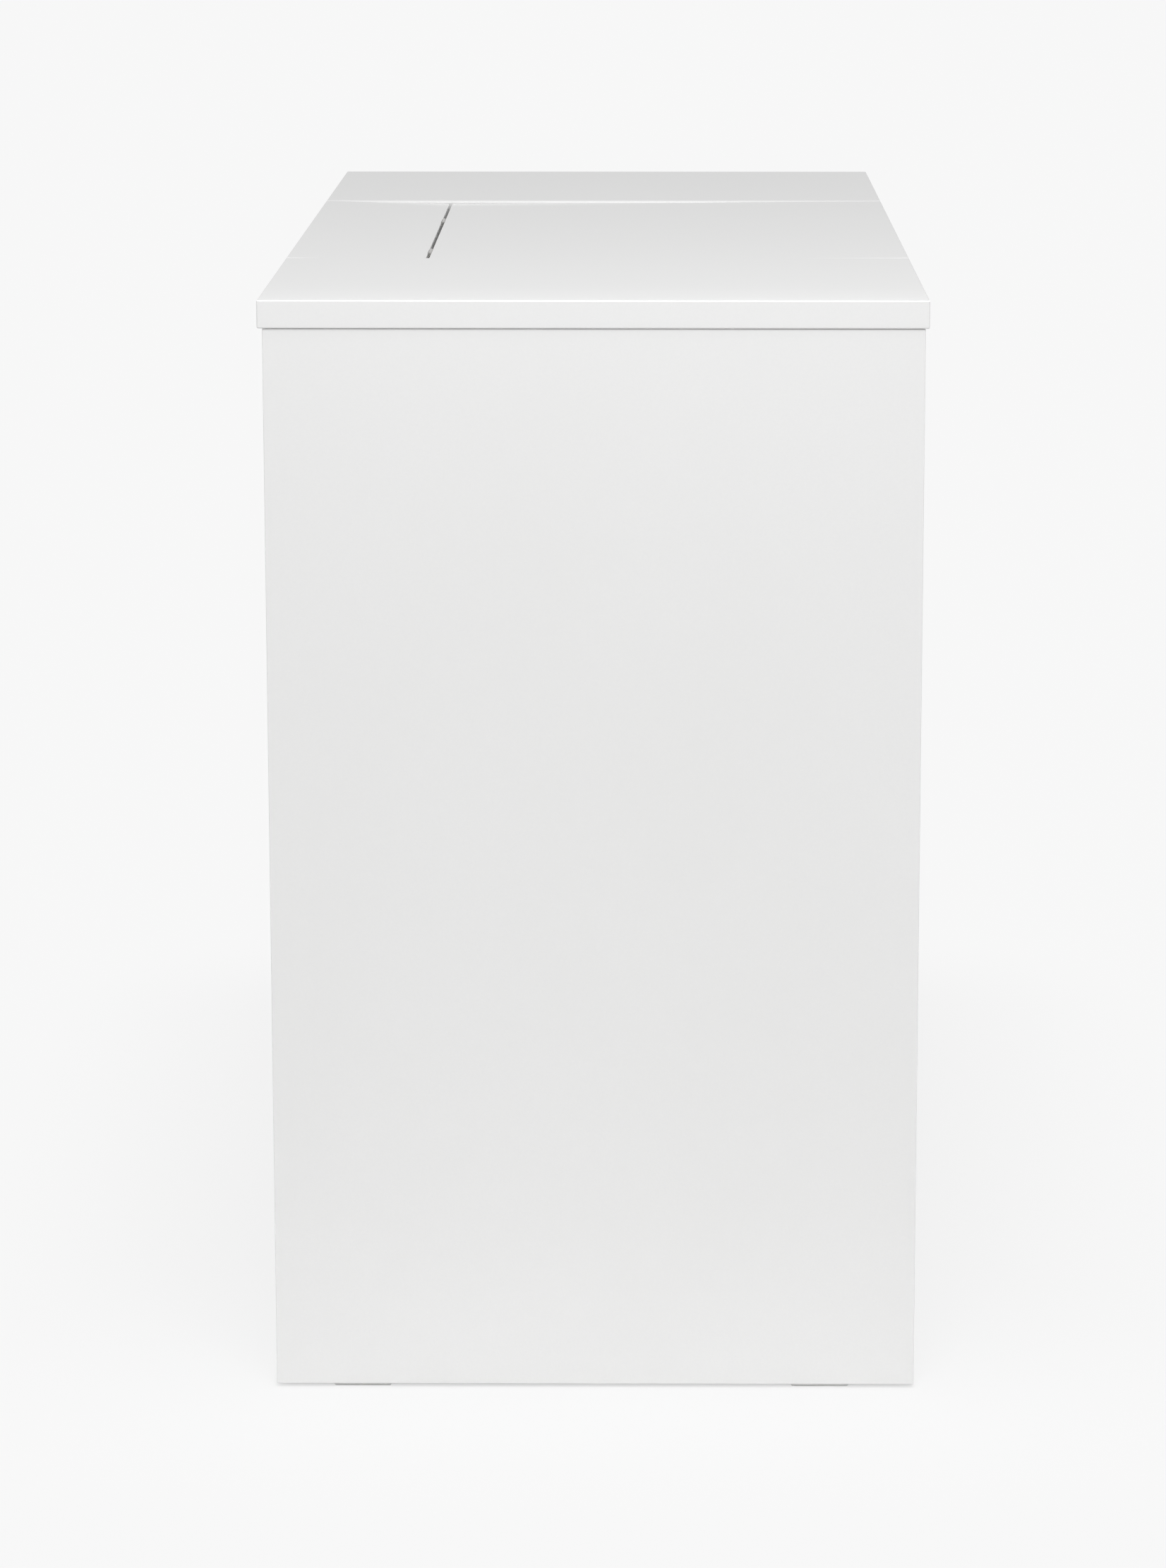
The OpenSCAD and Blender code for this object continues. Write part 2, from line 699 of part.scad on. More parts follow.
// Area inside a loop at distance r from the three sprocket centres
module loop_area(r) {
    for (c = centres) translate(c) circle(r);
    polygon([
        centres[0] + [r, 0], centres[0] + r * leg_out, centres[1] + r * leg_out,
        centres[1] + r * [leg_out.x, -leg_out.y], centres[2] + r * [leg_out.x, -leg_out.y],
        centres[2] + [r, 0]
    ]);
}

module drive_chain() color(steel) {
    for (z = [chain_z - chain_h / 2, chain_z + chain_in / 2]) translate([0, 0, z])
        linear_extrude(link_t) difference() {
            loop_area(pitch_r + link_half);
            loop_area(pitch_r - link_half);
        }
    for (p = run_rollers) translate([p.x, p.y, chain_z]) cylinder(chain_h, r = roller_r, center = true);
}

// Drive unit

gearbox_bore = 20;
gearbox_lip = 5;
shaft_in = gearbox_bore - 2;

module gearbox() color(grey) translate([motor_x, 0, head_z - gearbox_h]) difference() {
    linear_extrude(gearbox_h) round_rect(2 * (motor_r + gearbox_lip), 2 * (motor_r + 2 * gearbox_lip), 12);
    translate([0, 0, gearbox_h - gearbox_bore]) cylinder(gearbox_bore + eps, r = journal_r + run_clear);
}

motor_cap = 6;
terminal = [0.55 * motor_r, 30, 50];

module motor() color(graphite) translate([motor_x, 0, head_z - gearbox_h - motor_len]) {
    translate([0, 0, motor_cap]) cylinder(motor_len - motor_cap, r = motor_r);
    cylinder(motor_cap, r = motor_r - 4);
    translate([terminal.x, -terminal.y / 2, 30]) cube(terminal);
}

module motor_sprocket() color(steel) translate([motor_x, 0, 0]) {
    translate([0, 0, chain_z]) sprocket(180);
    translate([0, 0, head_z - shaft_in]) cylinder(screw_top - head_z + shaft_in, r = journal_r);
}

// Ram

beam_end = half_span + 17;

module ram_beam() color(steel) difference() {
    block([ram_x - beam_w / 2, -beam_end, beam_z], [ram_x + beam_w / 2, beam_end, beam_z + beam_h]);
    block([ram_x - beam_w / 2 + column_t, -beam_end - eps, beam_z - eps],
        [ram_x + beam_w / 2 - column_t, beam_end + eps, beam_z + beam_h - column_t]);
    for (s = sides) translate([ram_x, s * half_span, beam_z])
        cylinder(beam_h + eps, r = nut_r + press);
}

nut_up = 4;
nut_flange_t = 8;
nut_flange_r = beam_w / 2 - column_t - fit;

// Bronze nuts, each with a flange under the beam's web
module ram_nuts() color(bronze) for (s = sides) translate([ram_x, s * half_span, beam_z]) difference() {
    union() {
        cylinder(beam_h + nut_up, r = nut_r);
        translate([0, 0, beam_h - column_t - nut_flange_t]) cylinder(nut_flange_t, r = nut_flange_r);
    }
    translate([0, 0, -eps]) cylinder(beam_h + nut_up + 2 * eps, r = screw_r + run_clear);
}

column_corner = 8;
plate_corner = 10;

module ram_column() color(steel) translate([ram_x, 0, plate_z + ram_plate_t])
    linear_extrude(beam_z - plate_z - ram_plate_t) difference() {
        round_rect(column_w, column_w, column_corner);
        round_rect(column_w - 2 * column_t, column_w - 2 * column_t, column_corner - column_t);
    }

module ram_plate() color(zinc) translate([ram_x, 0, plate_z]) difference() {
    linear_extrude(ram_plate_t + ram_rim_h) round_rect(ram_len, ram_w, plate_corner);
    translate([0, 0, ram_plate_t]) linear_extrude(ram_rim_h + eps)
        round_rect(ram_len - 2 * column_t, ram_w - 2 * column_t, plate_corner - column_t);
}

// Drawer

module drawer_front() color(white)
    board([front_in_x, -drawer_front_w / 2, front_low_z], [front_x, drawer_front_w / 2, front_top_z]);

cradle_in_y = bin_w / 2 + 5;
cradle_out_y = cradle_in_y + cradle_t;
cradle_rear_x = ram_x - bin_len / 2 - 2 - cradle_t;
cradle_front_h = 200;
keeper_t = 5;
keeper_w = 16;
keeper_h = 9;
keeper_x = nose_x - 1 - keeper_t;

module drawer_cradle() color(zinc) {
    difference() {
        block([cradle_rear_x, -cradle_out_y, cradle_z], [front_in_x, cradle_out_y, cradle_z + cradle_h]);
        block([cradle_rear_x + cradle_t, -cradle_in_y, cradle_z + cradle_t],
            [front_in_x - cradle_t, cradle_in_y, cradle_z + cradle_h + eps]);
    }
    block([front_in_x - cradle_t, -cradle_out_y, cradle_z],
        [front_in_x, cradle_out_y, cradle_z + cradle_front_h]);
    block([keeper_x, -keeper_w / 2, cradle_z - keeper_h],
        [keeper_x + keeper_t, keeper_w / 2, cradle_z + cradle_t / 2]);
}

module bin() color(graphite) translate([ram_x, 0, bin_z]) difference() {
    linear_extrude(bin_h) round_rect(bin_len, bin_w, bin_corner);
    translate([0, 0, bin_wall]) linear_extrude(bin_h)
        round_rect(bin_len - 2 * bin_wall, bin_w - 2 * bin_wall, bin_corner - bin_wall);
}

ring_w = 7;

module bag_ring() color(grey) translate([ram_x, 0, rim_z]) linear_extrude(ring_t) difference() {
    round_rect(bin_len, bin_w, bin_corner);
    round_rect(bin_len - 2 * ring_w, bin_w - 2 * ring_w, bin_corner - ring_w);
}

// Slides under the cradle. Each member is one half profile across the travel, mirrored.
fixed_half = 12;
fixed_lip_z = 12;
fixed_wall = 2;
middle_half = 9.5;
middle_z = [2.5, 8, 14, 17.5];      // underside, top of the foot, underside of the head, top
middle_web = 3;
middle_head = 6;
drawer_half = 9;
drawer_side = 2.5;
drawer_z = [8.6, 18];               // lower edge of the sides, underside of the roof

function both_sides(half) = concat(half, [for (i = [len(half) - 1 : -1 : 0]) [-half[i].x, half[i].y]]);

module slide_member(half) color(zinc) for (s = sides) translate([slide_x, s * slide_y, rail_z])
    rotate([90, 0, 90]) linear_extrude(slide_len) polygon(both_sides(half));

slide_x = front_in_x - 12 - slide_len;

module rails_fixed() slide_member([
    [fixed_half, 0], [fixed_half, fixed_lip_z], [fixed_half - fixed_wall, fixed_lip_z],
    [fixed_half - fixed_wall, fixed_wall]
]);

module rails_middle() slide_member([
    [middle_half, middle_z[0]], [middle_half, middle_z[1]], [middle_web, middle_z[1]],
    [middle_web, middle_z[2]], [middle_head, middle_z[2]], [middle_head, middle_z[3]]
]);

module rails_drawer() slide_member([
    [drawer_half, rail_up], [drawer_half, drawer_z[0]], [drawer_half - drawer_side, drawer_z[0]],
    [drawer_half - drawer_side, drawer_z[1]]
]);

// Pedal

foot_x = [plinth_x + plinth_t + 2, front_x - 5];

// Side outline of the lever, from its pivot forward and down through the slot to the foot plate
lever_outline = [
    [pedal_x, pedal_z - 4], [nose_x + 10, pedal_z - 4], [plinth_x - 16, foot_z + 2], [plinth_x - 12, foot_z],
    [foot_x[0], foot_z], [foot_x[0], foot_z + foot_t], [plinth_x - 8, foot_z + foot_t],
    [nose_x + 16, pedal_z + 3], [nose_x + 6, pedal_z + 3], [nose_x + 6, pedal_z + 10],
    [nose_x + 2, pedal_z + 10],
    [nose_x, pedal_z + 7], [nose_x, pedal_z + 3], [pedal_x, pedal_z + 3]
];

module pedal_lever() color(steel) difference() {
    union() {
        rotate([90, 0, 0]) linear_extrude(lever_w, center = true) polygon(lever_outline);
        translate([pedal_x, 0, pedal_z]) rotate([90, 0, 0]) cylinder(lever_w, r = 6, center = true);
        board([foot_x[0], -pedal_w / 2, foot_z], [foot_x[1], pedal_w / 2, foot_z + foot_t], 0.8);
    }
    translate([pedal_x, 0, pedal_z]) rotate([90, 0, 0])
        cylinder(lever_w + 2 * eps, r = pedal_pin_r + run_clear, center = true);
}

ear_y = [lever_w / 2 + 0.5, lever_w / 2 + 3.5];
spring_len = 10;

module pedal_bracket() color(zinc) for (y = [-ear_y[1], ear_y[0], ear_y[1] + spring_len + 1]) difference() {
    block([pedal_x - 9, y, base_z], [pedal_x + 9, y + ear_y[1] - ear_y[0], pedal_z + 7]);
    translate([pedal_x, y + 1, pedal_z]) rotate([90, 0, 0])
        cylinder(20, r = pedal_pin_r + press, center = true);
}

pin_end = ear_y[1] + spring_len + 1 + ear_y[1] - ear_y[0];

module pedal_pin() color(zinc) translate([pedal_x, pin_end, pedal_z]) rotate([90, 0, 0])
    cylinder(pin_end + ear_y[1], r = pedal_pin_r);

// Torsion spring round the pin: a close helix whose first end is a leg that stands on the base
wire_r = 0.8;
wire_sides = 10;
coil_r = pedal_pin_r + 0.4 + wire_r;
coil_pitch = 2 * wire_r + 0.1;
coil_turns = 5;
coil_step = 20;

// Section of the wire at angle a round the pin, lowered by drop
function wire_ring(a, drop = 0) = [
    for (i = [0 : wire_sides - 1]) let (t = i * 360 / wire_sides, r = coil_r + wire_r * cos(t))
        [
            pedal_x + r * cos(a),
            ear_y[1] + 1.1 + coil_pitch * a / 360 + wire_r * sin(t),
            pedal_z + r * sin(a) - drop
        ]
];

module pedal_spring() color(steel) {
    rings = concat([wire_ring(0, pedal_z - base_z)],
        [for (a = [0 : coil_step : 360 * coil_turns]) wire_ring(a)]);
    last = len(rings) - 1;
    polyhedron(
        points = [for (r = rings) each r],
        faces = concat(
            [[for (i = [0 : wire_sides - 1]) i]],
            [[for (i = [wire_sides - 1 : -1 : 0]) last * wire_sides + i]],
            [for (k = [0 : last - 1], i = [0 : wire_sides - 1]) let (j = (i + 1) % wire_sides)
                [k * wire_sides + j, k * wire_sides + i, (k + 1) * wire_sides + i, (k + 1) * wire_sides + j]]
        )
    );
}

// Controls

module control_well() color(grey) difference() {
    block([well_rear_x, -bay_in_y, well_z], [well_front_x, bay_in_y, well_top_z]);
    block([well_rear_x + well_wall, -bay_in_y + well_wall, well_floor_z],
        [well_front_x - well_wall, bay_in_y - well_wall, well_top_z + eps]);
}

module control_box() color(graphite) difference() {
    translate([box_x + box_len / 2, box_y + box_w / 2, well_floor_z])
        linear_extrude(box_h) round_rect(box_len, box_w, 6);
    translate([box_x + box_len / 2, box_y + box_w / 2, well_floor_z - eps])
        linear_extrude(box_h - box_wall + eps) round_rect(box_len - 2 * box_wall, box_w - 2 * box_wall, 4);
    for (x = button_x) translate([x, button_y, box_top_z - 2 * box_wall])
        cylinder(3 * box_wall, r = button_r + fit);
    translate([knob_at.x, knob_at.y, box_top_z - 2 * box_wall])
        cylinder(3 * box_wall, r = knob_shaft_r + run_clear);
    translate([lens_at.x, lens_at.y, box_top_z - 2 * box_wall]) cylinder(3 * box_wall, r = lens_r + press);
}

knob_shaft_r = 3;
lens_up = 1.5;
lens_rim = 1;
button_collar = 2;

// Push button: cap through the box top, and a wider shoulder held under it
module button(x) translate([x, button_y, box_top_z]) {
    translate([0, 0, -box_wall - fit - button_collar]) cylinder(button_collar, r = button_r + button_collar);
    translate([0, 0, -box_wall - fit - 0.5]) cylinder(box_wall + fit + 0.5 + button_up, r = button_r);
}

module cycle_knob() color(graphite) translate([knob_at.x, knob_at.y, box_top_z]) {
    translate([0, 0, -box_wall - 8]) cylinder(box_wall + 8 + fit + 1, r = knob_shaft_r);
    translate([0, 0, fit]) difference() {
        cylinder(knob_h, r = knob_r);
        for (i = [0 : 17]) rotate(i * 20) translate([knob_r + 1, 0, 2]) cylinder(knob_h, r = 2);
    }
}

module status_lens() color("seagreen") translate([lens_at.x, lens_at.y, box_top_z]) {
    translate([0, 0, -box_wall]) cylinder(box_wall + lens_up, r = lens_r);
    cylinder(lens_up, r = lens_r + lens_rim);
}

filter_x = well_rear_x + 8;
filter_size = [120, 220, 34];
slat_count = 13;
slat_pitch = 15.7;
slat_gap = 8;
slat_deep = 4;
slat_edge = 10;

module filter_cassette() color(graphite) translate([filter_x, 0, well_floor_z]) difference() {
    board([0, -filter_size.y / 2, 0], [filter_size.x, filter_size.y / 2, filter_size.z]);
    for (i = [0 : slat_count - 1])
        translate([
            slat_edge, (i - (slat_count - 1) / 2) * slat_pitch - slat_gap / 2, filter_size.z - slat_deep
        ]) cube([filter_size.x - 2 * slat_edge, slat_gap, slat_deep + eps]);
}

// Appliance inlet in the back panel: a flange outside, a recess and three blades
module power_inlet() color(graphite) translate([back_x, inlet_y, inlet_z]) {
    difference() {
        union() {
            block([-flange_t, -inlet_w / 2 - inlet_flange, -inlet_h / 2 - inlet_flange],
                [0, inlet_w / 2 + inlet_flange, inlet_h / 2 + inlet_flange]);
            block([-eps, -inlet_w / 2, -inlet_h / 2], [inlet_len, inlet_w / 2, inlet_h / 2]);
        }
        block([-flange_t - eps, -inlet_w / 2 + inlet_wall, -inlet_h / 2 + inlet_wall],
            [inlet_len - 4, inlet_w / 2 - inlet_wall, inlet_h / 2 - inlet_wall]);
    }
    for (p = blade_at) block([8, p[0] - 1, p[1] - 2], [inlet_len - 3, p[0] + 1, p[1] + 2]);
}

color(white) end_panel(-1);  // end_panel_near
color(white) end_panel(1);  // end_panel_far
color(white) partition(-1);  // partition_near
color(white) partition(1);  // partition_far
color(white) bottom_panel();
color(white) back_panel();
color(white) plinth_front();
color(white) plinth_rear();
glides();
top_rails();
color(white) worktop_side(-1);  // worktop_near
color(white) worktop_side(1);  // worktop_far
worktop_rear();
lid();
lid_leaves_fixed();
lid_leaves_moving();
lid_hinge_pins();
shelves();
shelf_pins();
color(white) door(-1);  // door_near
color(white) door(1);  // door_far
door_pins();
door_brackets();
frame_base();
color(zinc) frame_side(-1);  // frame_side_near
color(zinc) frame_side(1);  // frame_side_far
power_head();
screw_bushes();
bearing_brackets();
color(steel) power_screw(-1);  // screw_near
color(steel) power_screw(1);  // screw_far
color(steel) screw_sprocket(-1);  // sprocket_near
color(steel) screw_sprocket(1);  // sprocket_far
drive_chain();
gearbox();
motor();
motor_sprocket();
ram_beam();
ram_column();
ram_plate();
ram_nuts();
drawer_front();
drawer_cradle();
bin();
bag_ring();
rails_fixed();
rails_middle();
rails_drawer();
pedal_lever();
pedal_bracket();
pedal_pin();
pedal_spring();
control_well();
control_box();
color("seagreen") button(button_x[1]);  // start_button
color("firebrick") button(button_x[0]);  // stop_button
cycle_knob();
status_lens();
filter_cassette();
power_inlet();
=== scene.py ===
import bpy
import bmesh
import json
from math import asin, atan2, ceil, cos, floor, hypot, pi, radians, sin
from mathutils import Matrix, Vector


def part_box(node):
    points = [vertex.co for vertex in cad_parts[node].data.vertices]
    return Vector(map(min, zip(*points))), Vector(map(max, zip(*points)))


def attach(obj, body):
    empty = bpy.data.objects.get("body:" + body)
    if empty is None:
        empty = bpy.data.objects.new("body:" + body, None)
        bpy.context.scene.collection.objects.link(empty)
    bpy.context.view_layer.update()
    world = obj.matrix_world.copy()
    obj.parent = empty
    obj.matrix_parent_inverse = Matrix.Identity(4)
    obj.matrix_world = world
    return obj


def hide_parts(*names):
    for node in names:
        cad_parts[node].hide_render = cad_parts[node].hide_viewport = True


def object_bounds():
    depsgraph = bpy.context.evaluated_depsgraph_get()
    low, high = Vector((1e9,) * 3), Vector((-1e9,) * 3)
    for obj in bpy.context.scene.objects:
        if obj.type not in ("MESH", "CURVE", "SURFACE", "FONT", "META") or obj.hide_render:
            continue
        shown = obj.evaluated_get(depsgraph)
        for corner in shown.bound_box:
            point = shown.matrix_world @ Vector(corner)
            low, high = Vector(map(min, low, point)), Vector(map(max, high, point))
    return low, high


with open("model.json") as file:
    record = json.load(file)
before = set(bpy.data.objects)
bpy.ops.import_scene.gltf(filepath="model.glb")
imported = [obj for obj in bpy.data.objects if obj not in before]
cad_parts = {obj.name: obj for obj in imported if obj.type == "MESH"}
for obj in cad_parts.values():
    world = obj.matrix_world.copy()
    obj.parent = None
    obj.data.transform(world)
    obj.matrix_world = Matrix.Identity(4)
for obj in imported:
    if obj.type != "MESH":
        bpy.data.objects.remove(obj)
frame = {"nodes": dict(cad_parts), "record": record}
RECORD = frame["record"]
SLOT_OF = {part["node"]: part["material_slot"] for part in RECORD["subparts"]}
BODY_OF = {node: body for body, nodes in RECORD["behaviour"]["bodies"].items() for node in nodes}
CAD_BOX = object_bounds()
MM = 0.001
MICRON = 0.000001

# ---------------------------------------------------------------- materials


def connect(tree, node, inputs):
    """Links each named input of a shader node to a socket, or gives it a value."""
    for name, value in inputs.items():
        if isinstance(value, bpy.types.NodeSocket):
            tree.links.new(value, node.inputs[name])
        else:
            node.inputs[name].default_value = value


def add_node(tree, kind, inputs, **settings):
    """A new shader node with its settings and inputs."""
    node = tree.nodes.new("ShaderNode" + kind)
    for name, value in settings.items():
        setattr(node, name, value)
    connect(tree, node, inputs)
    return node


def grey(value):
    return (value, value, value)


def ramp(tree, source, low, high, low_colour, high_colour):
    """A colour that runs from one to another as its source goes from low to high."""
    node = add_node(tree, "ValToRGB", {"Fac": source})
    for stop, position, colour in zip(node.color_ramp.elements, (low, high), (low_colour, high_colour)):
        stop.position = position
        stop.color = (*colour, 1)
    return node.outputs["Color"]


def blend(tree, factor, base, other, **settings):
    """Mixes another colour into a base colour."""
    mix = add_node(tree, "Mix", {}, data_type="RGBA", **settings)
    connect(tree, mix, {"Factor": factor, "A": base, "B": other})
    return mix.outputs["Result"]


def overlay(tree, base, source, low, high, paint):
    """Lays paint, a pair of colour and strength, over a base colour where its source is high."""
    colour, strength = paint
    return blend(tree, ramp(tree, source, low, high, grey(0.0), grey(strength)), base, (*colour, 1))


def noise(tree, coords, scale, detail=3.0, rough=0.5, stretch=(1, 1, 1)):
    """Noise at so many features a metre, drawn out along an axis by stretch."""
    mapping = add_node(tree, "Mapping", {"Vector": coords, "Scale": stretch})
    inputs = {"Vector": mapping.outputs["Vector"], "Scale": scale, "Detail": detail, "Roughness": rough}
    return add_node(tree, "TexNoise", inputs).outputs["Fac"]


def finish_material(name, colour, variation, rough, rough_swing, bumps, stain=None, stain_scale=6.0,
                    metallic=0.0, stretch=(1, 1, 1), coat=0.0, coat_rough=0.2, edge_wear=None):
    """Principled material. The colour swings by variation at two scales, roughness swings with it,
    and bumps is a list of (features a metre, depth in micrometres)."""
    mat = bpy.data.materials.new(name)
    mat.use_nodes = True
    tree = mat.node_tree
    coords = tree.nodes.new("ShaderNodeTexCoord").outputs["Object"]
    fine = noise(tree, coords, bumps[0][0] * 0.5, 4.0, 0.6, stretch)
    broad = noise(tree, coords, stain_scale, 5.0, 0.55)
    dark = [max(0.0, c * (1 - variation)) for c in colour]
    light = [min(1.0, c * (1 + variation)) for c in colour]
    tint = ramp(tree, fine, 0.35, 0.65, dark, light)
    if stain:
        tint = overlay(tree, tint, broad, 0.45, 0.72, stain)
    if edge_wear:
        corners = tree.nodes.new("ShaderNodeNewGeometry").outputs["Pointiness"]
        tint = overlay(tree, tint, corners, 0.52, 0.60, edge_wear)
    smooth, dull = grey(max(0.02, rough - rough_swing)), grey(min(1.0, rough + rough_swing))
    connect(tree, tree.nodes["Principled BSDF"], {
        "Base Color": tint, "Roughness": ramp(tree, broad, 0.3, 0.7, smooth, dull), "Metallic": metallic,
        "Coat Weight": coat, "Coat Roughness": coat_rough, "Specular IOR Level": 0.5, "IOR": 1.5})
    normal = {}
    for scale, depth in bumps:
        height = noise(tree, coords, scale, stretch=stretch)
        inputs = {"Strength": 1.0, "Distance": depth * MICRON, "Height": height, **normal}
        bump = add_node(tree, "Bump", inputs)
        normal = {"Normal": bump.outputs["Normal"]}
    connect(tree, tree.nodes["Principled BSDF"], normal)
    return mat


def spangle_material(name, colour, rough):
    """Zinc-plated sheet: crystals of slightly different grey, with fine rolling marks."""
    mat = finish_material(name, colour, 0.04, rough, 0.06, [(700, 20), (60, 40)],
                          ((0.42, 0.43, 0.44), 0.35), metallic=0.9)
    tree = mat.node_tree
    coords = tree.nodes.new("ShaderNodeTexCoord").outputs["Object"]
    cells = add_node(tree, "TexVoronoi", {"Vector": coords, "Scale": 130})
    channels = add_node(tree, "SeparateColor", {"Color": cells.outputs["Color"]})
    shade = ramp(tree, channels.outputs["Red"], 0.0, 1.0, grey(0.86), grey(1.0))
    base = tree.nodes["Principled BSDF"].inputs["Base Color"]
    tree.links.new(blend(tree, 1.0, base.links[0].from_socket, shade, blend_type="MULTIPLY"), base)
    return mat


def button_material(name, colour, stain_colour):
    """Glossy moulded button."""
    return finish_material(name, colour, 0.04, 0.20, 0.05, [(1500, 8)], (stain_colour, 0.3), 90,
                           coat=0.4, coat_rough=0.1)


def make_materials():
    """The material of every slot, and of the pieces that only the scene has."""
    finish = finish_material
    return {
        "lacquered_board": finish(
            "white_satin_lacquer", (0.835, 0.835, 0.832), 0.006, 0.40, 0.03, [(1400, 6), (260, 12)],
            ((0.815, 0.814, 0.808), 0.5), 3.0, coat=0.6, coat_rough=0.13),
        "glide_plastic": finish(
            "glide_plastic", (0.80, 0.80, 0.79), 0.02, 0.5, 0.05, [(1500, 20)], ((0.6, 0.59, 0.56), 0.3), 40),
        "hinge_steel": finish(
            "satin_nickel", (0.66, 0.65, 0.63), 0.03, 0.28, 0.06, [(2500, 8), (300, 10)],
            metallic=1.0, stretch=(1, 8, 1)),
        "zinc_steel": spangle_material("zinc_plated_sheet", (0.62, 0.63, 0.645), 0.38),
        "machined_steel": finish(
            "machined_steel", (0.52, 0.525, 0.53), 0.06, 0.26, 0.08, [(2200, 10), (400, 10)],
            ((0.20, 0.17, 0.12), 0.35), 30, metallic=1.0, stretch=(1, 1, 6)),
        "chain_steel": finish(
            "oiled_chain_steel", (0.24, 0.235, 0.23), 0.12, 0.30, 0.10, [(1800, 20)],
            ((0.07, 0.055, 0.04), 0.6), 60, metallic=1.0),
        "bronze": finish(
            "bearing_bronze", (0.60, 0.40, 0.19), 0.06, 0.32, 0.07, [(1800, 10), (300, 10)],
            ((0.30, 0.18, 0.08), 0.4), 40, metallic=1.0),
        "cast_alloy": finish(
            "sand_cast_alloy", (0.50, 0.505, 0.51), 0.07, 0.55, 0.08, [(900, 120), (2500, 40)],
            ((0.33, 0.33, 0.32), 0.4), 25, metallic=0.85),
        "motor_paint": finish(
            "black_enamel", (0.035, 0.037, 0.04), 0.15, 0.32, 0.07, [(500, 30), (1800, 10)],
            coat=0.3, edge_wear=(grey(0.16), 0.5)),
        "ram_paint": finish(
            "grey_powder_coat", (0.16, 0.165, 0.17), 0.08, 0.48, 0.06, [(1300, 60), (3000, 20)],
            (grey(0.11), 0.3), 12, edge_wear=((0.30, 0.30, 0.31), 0.4)),
        "ram_steel": finish(
            "scuffed_sheet_steel", (0.55, 0.555, 0.56), 0.08, 0.36, 0.10, [(900, 30), (2600, 10)],
            ((0.30, 0.29, 0.27), 0.5), 14, metallic=1.0, stretch=(4, 1, 1)),
        "bin_plastic": finish(
            "bin_plastic", (0.075, 0.078, 0.082), 0.08, 0.46, 0.05, [(2600, 50), (700, 20)],
            (grey(0.12), 0.3), 10),
        "ring_plastic": finish(
            "ring_plastic", (0.34, 0.35, 0.36), 0.03, 0.42, 0.05, [(2400, 30)], (grey(0.27), 0.25), 14),
        "pedal_paint": finish(
            "pedal_powder_coat", (0.42, 0.43, 0.44), 0.05, 0.42, 0.06, [(1300, 50)],
            (grey(0.30), 0.35), 25, edge_wear=(grey(0.62), 0.5)),
        "well_plastic": finish(
            "well_plastic", (0.56, 0.57, 0.58), 0.02, 0.45, 0.05, [(2400, 40)], (grey(0.50), 0.3), 8),
        "control_plastic": finish(
            "control_plastic", (0.055, 0.058, 0.062), 0.06, 0.40, 0.06, [(2600, 50)], (grey(0.08), 0.3), 20),
        "start_plastic": button_material("start_plastic", (0.045, 0.33, 0.11), (0.035, 0.26, 0.085)),
        "stop_plastic": button_material("stop_plastic", (0.52, 0.035, 0.03), (0.42, 0.028, 0.024)),
        "knob_plastic": finish(
            "knob_plastic", (0.10, 0.103, 0.108), 0.05, 0.36, 0.05, [(2600, 30)], (grey(0.14), 0.3), 60),
        "lens_plastic": finish(
            "green_lens", (0.06, 0.55, 0.14), 0.05, 0.08, 0.03, [(900, 4)], ((0.03, 0.40, 0.08), 0.4), 300,
            coat=1.0, coat_rough=0.03),
        "filter_plastic": finish(
            "filter_frame_plastic", (0.035, 0.036, 0.037), 0.08, 0.55, 0.05, [(2200, 50)],
            (grey(0.06), 0.3), 20),
        "rubber": finish(
            "pedal_rubber", (0.028, 0.028, 0.029), 0.12, 0.62, 0.06, [(1700, 50)],
            ((0.07, 0.068, 0.064), 0.4), 30),
        "charcoal": finish(
            "charcoal_granules", grey(0.012), 0.5, 0.75, 0.1, [(420, 600), (1300, 200)],
            (grey(0.03), 0.5), 200),
        "print_ink": finish(
            "white_print", (0.78, 0.78, 0.77), 0.02, 0.5, 0.05, [(2500, 5)], ((0.68, 0.68, 0.67), 0.3), 120),
    }


MATERIALS = make_materials()


def dress_cad_nodes():
    """Gives every CAD node the material of its slot."""
    for name, slot in SLOT_OF.items():
        materials = frame["nodes"][name].data.materials
        materials.clear()
        materials.append(MATERIALS[slot])


dress_cad_nodes()

# ---------------------------------------------------------------- mesh helpers


def add_object(name, data):
    obj = bpy.data.objects.new(name, data)
    bpy.context.scene.collection.objects.link(obj)
    return obj


def put_in_order(bm):
    """Sorts a bmesh by place, so that its mesh is stored in the same order each run."""
    def place_of(element):
        return sorted(v.index for v in element.verts)
    for elements, key in ((bm.verts, lambda v: v.co[:]), (bm.edges, place_of), (bm.faces, place_of)):
        for i, element in enumerate(sorted(elements, key=key)):
            element.index = i
        elements.sort()


def piece(name, bm, body, slot, material=None, replaces=(), sharp=32.0, weighted=False):
    """Turns a bmesh into a named piece that rides on a body."""
    bmesh.ops.remove_doubles(bm, verts=bm.verts, dist=1e-7)
    bmesh.ops.recalc_face_normals(bm, faces=bm.faces)
    put_in_order(bm)
    mesh = bpy.data.meshes.new(name)
    bm.to_mesh(mesh)
    bm.free()
    mesh.materials.append(MATERIALS[material or slot])
    for polygon in mesh.polygons:
        polygon.use_smooth = True
    mesh.set_sharp_from_angle(angle=radians(sharp))
    obj = add_object(name, mesh)
    if weighted:
        modifier = obj.modifiers.new("weighted", "WEIGHTED_NORMAL")
        modifier.keep_sharp = True
    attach(obj, body)
    if replaces:
        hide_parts(*replaces)


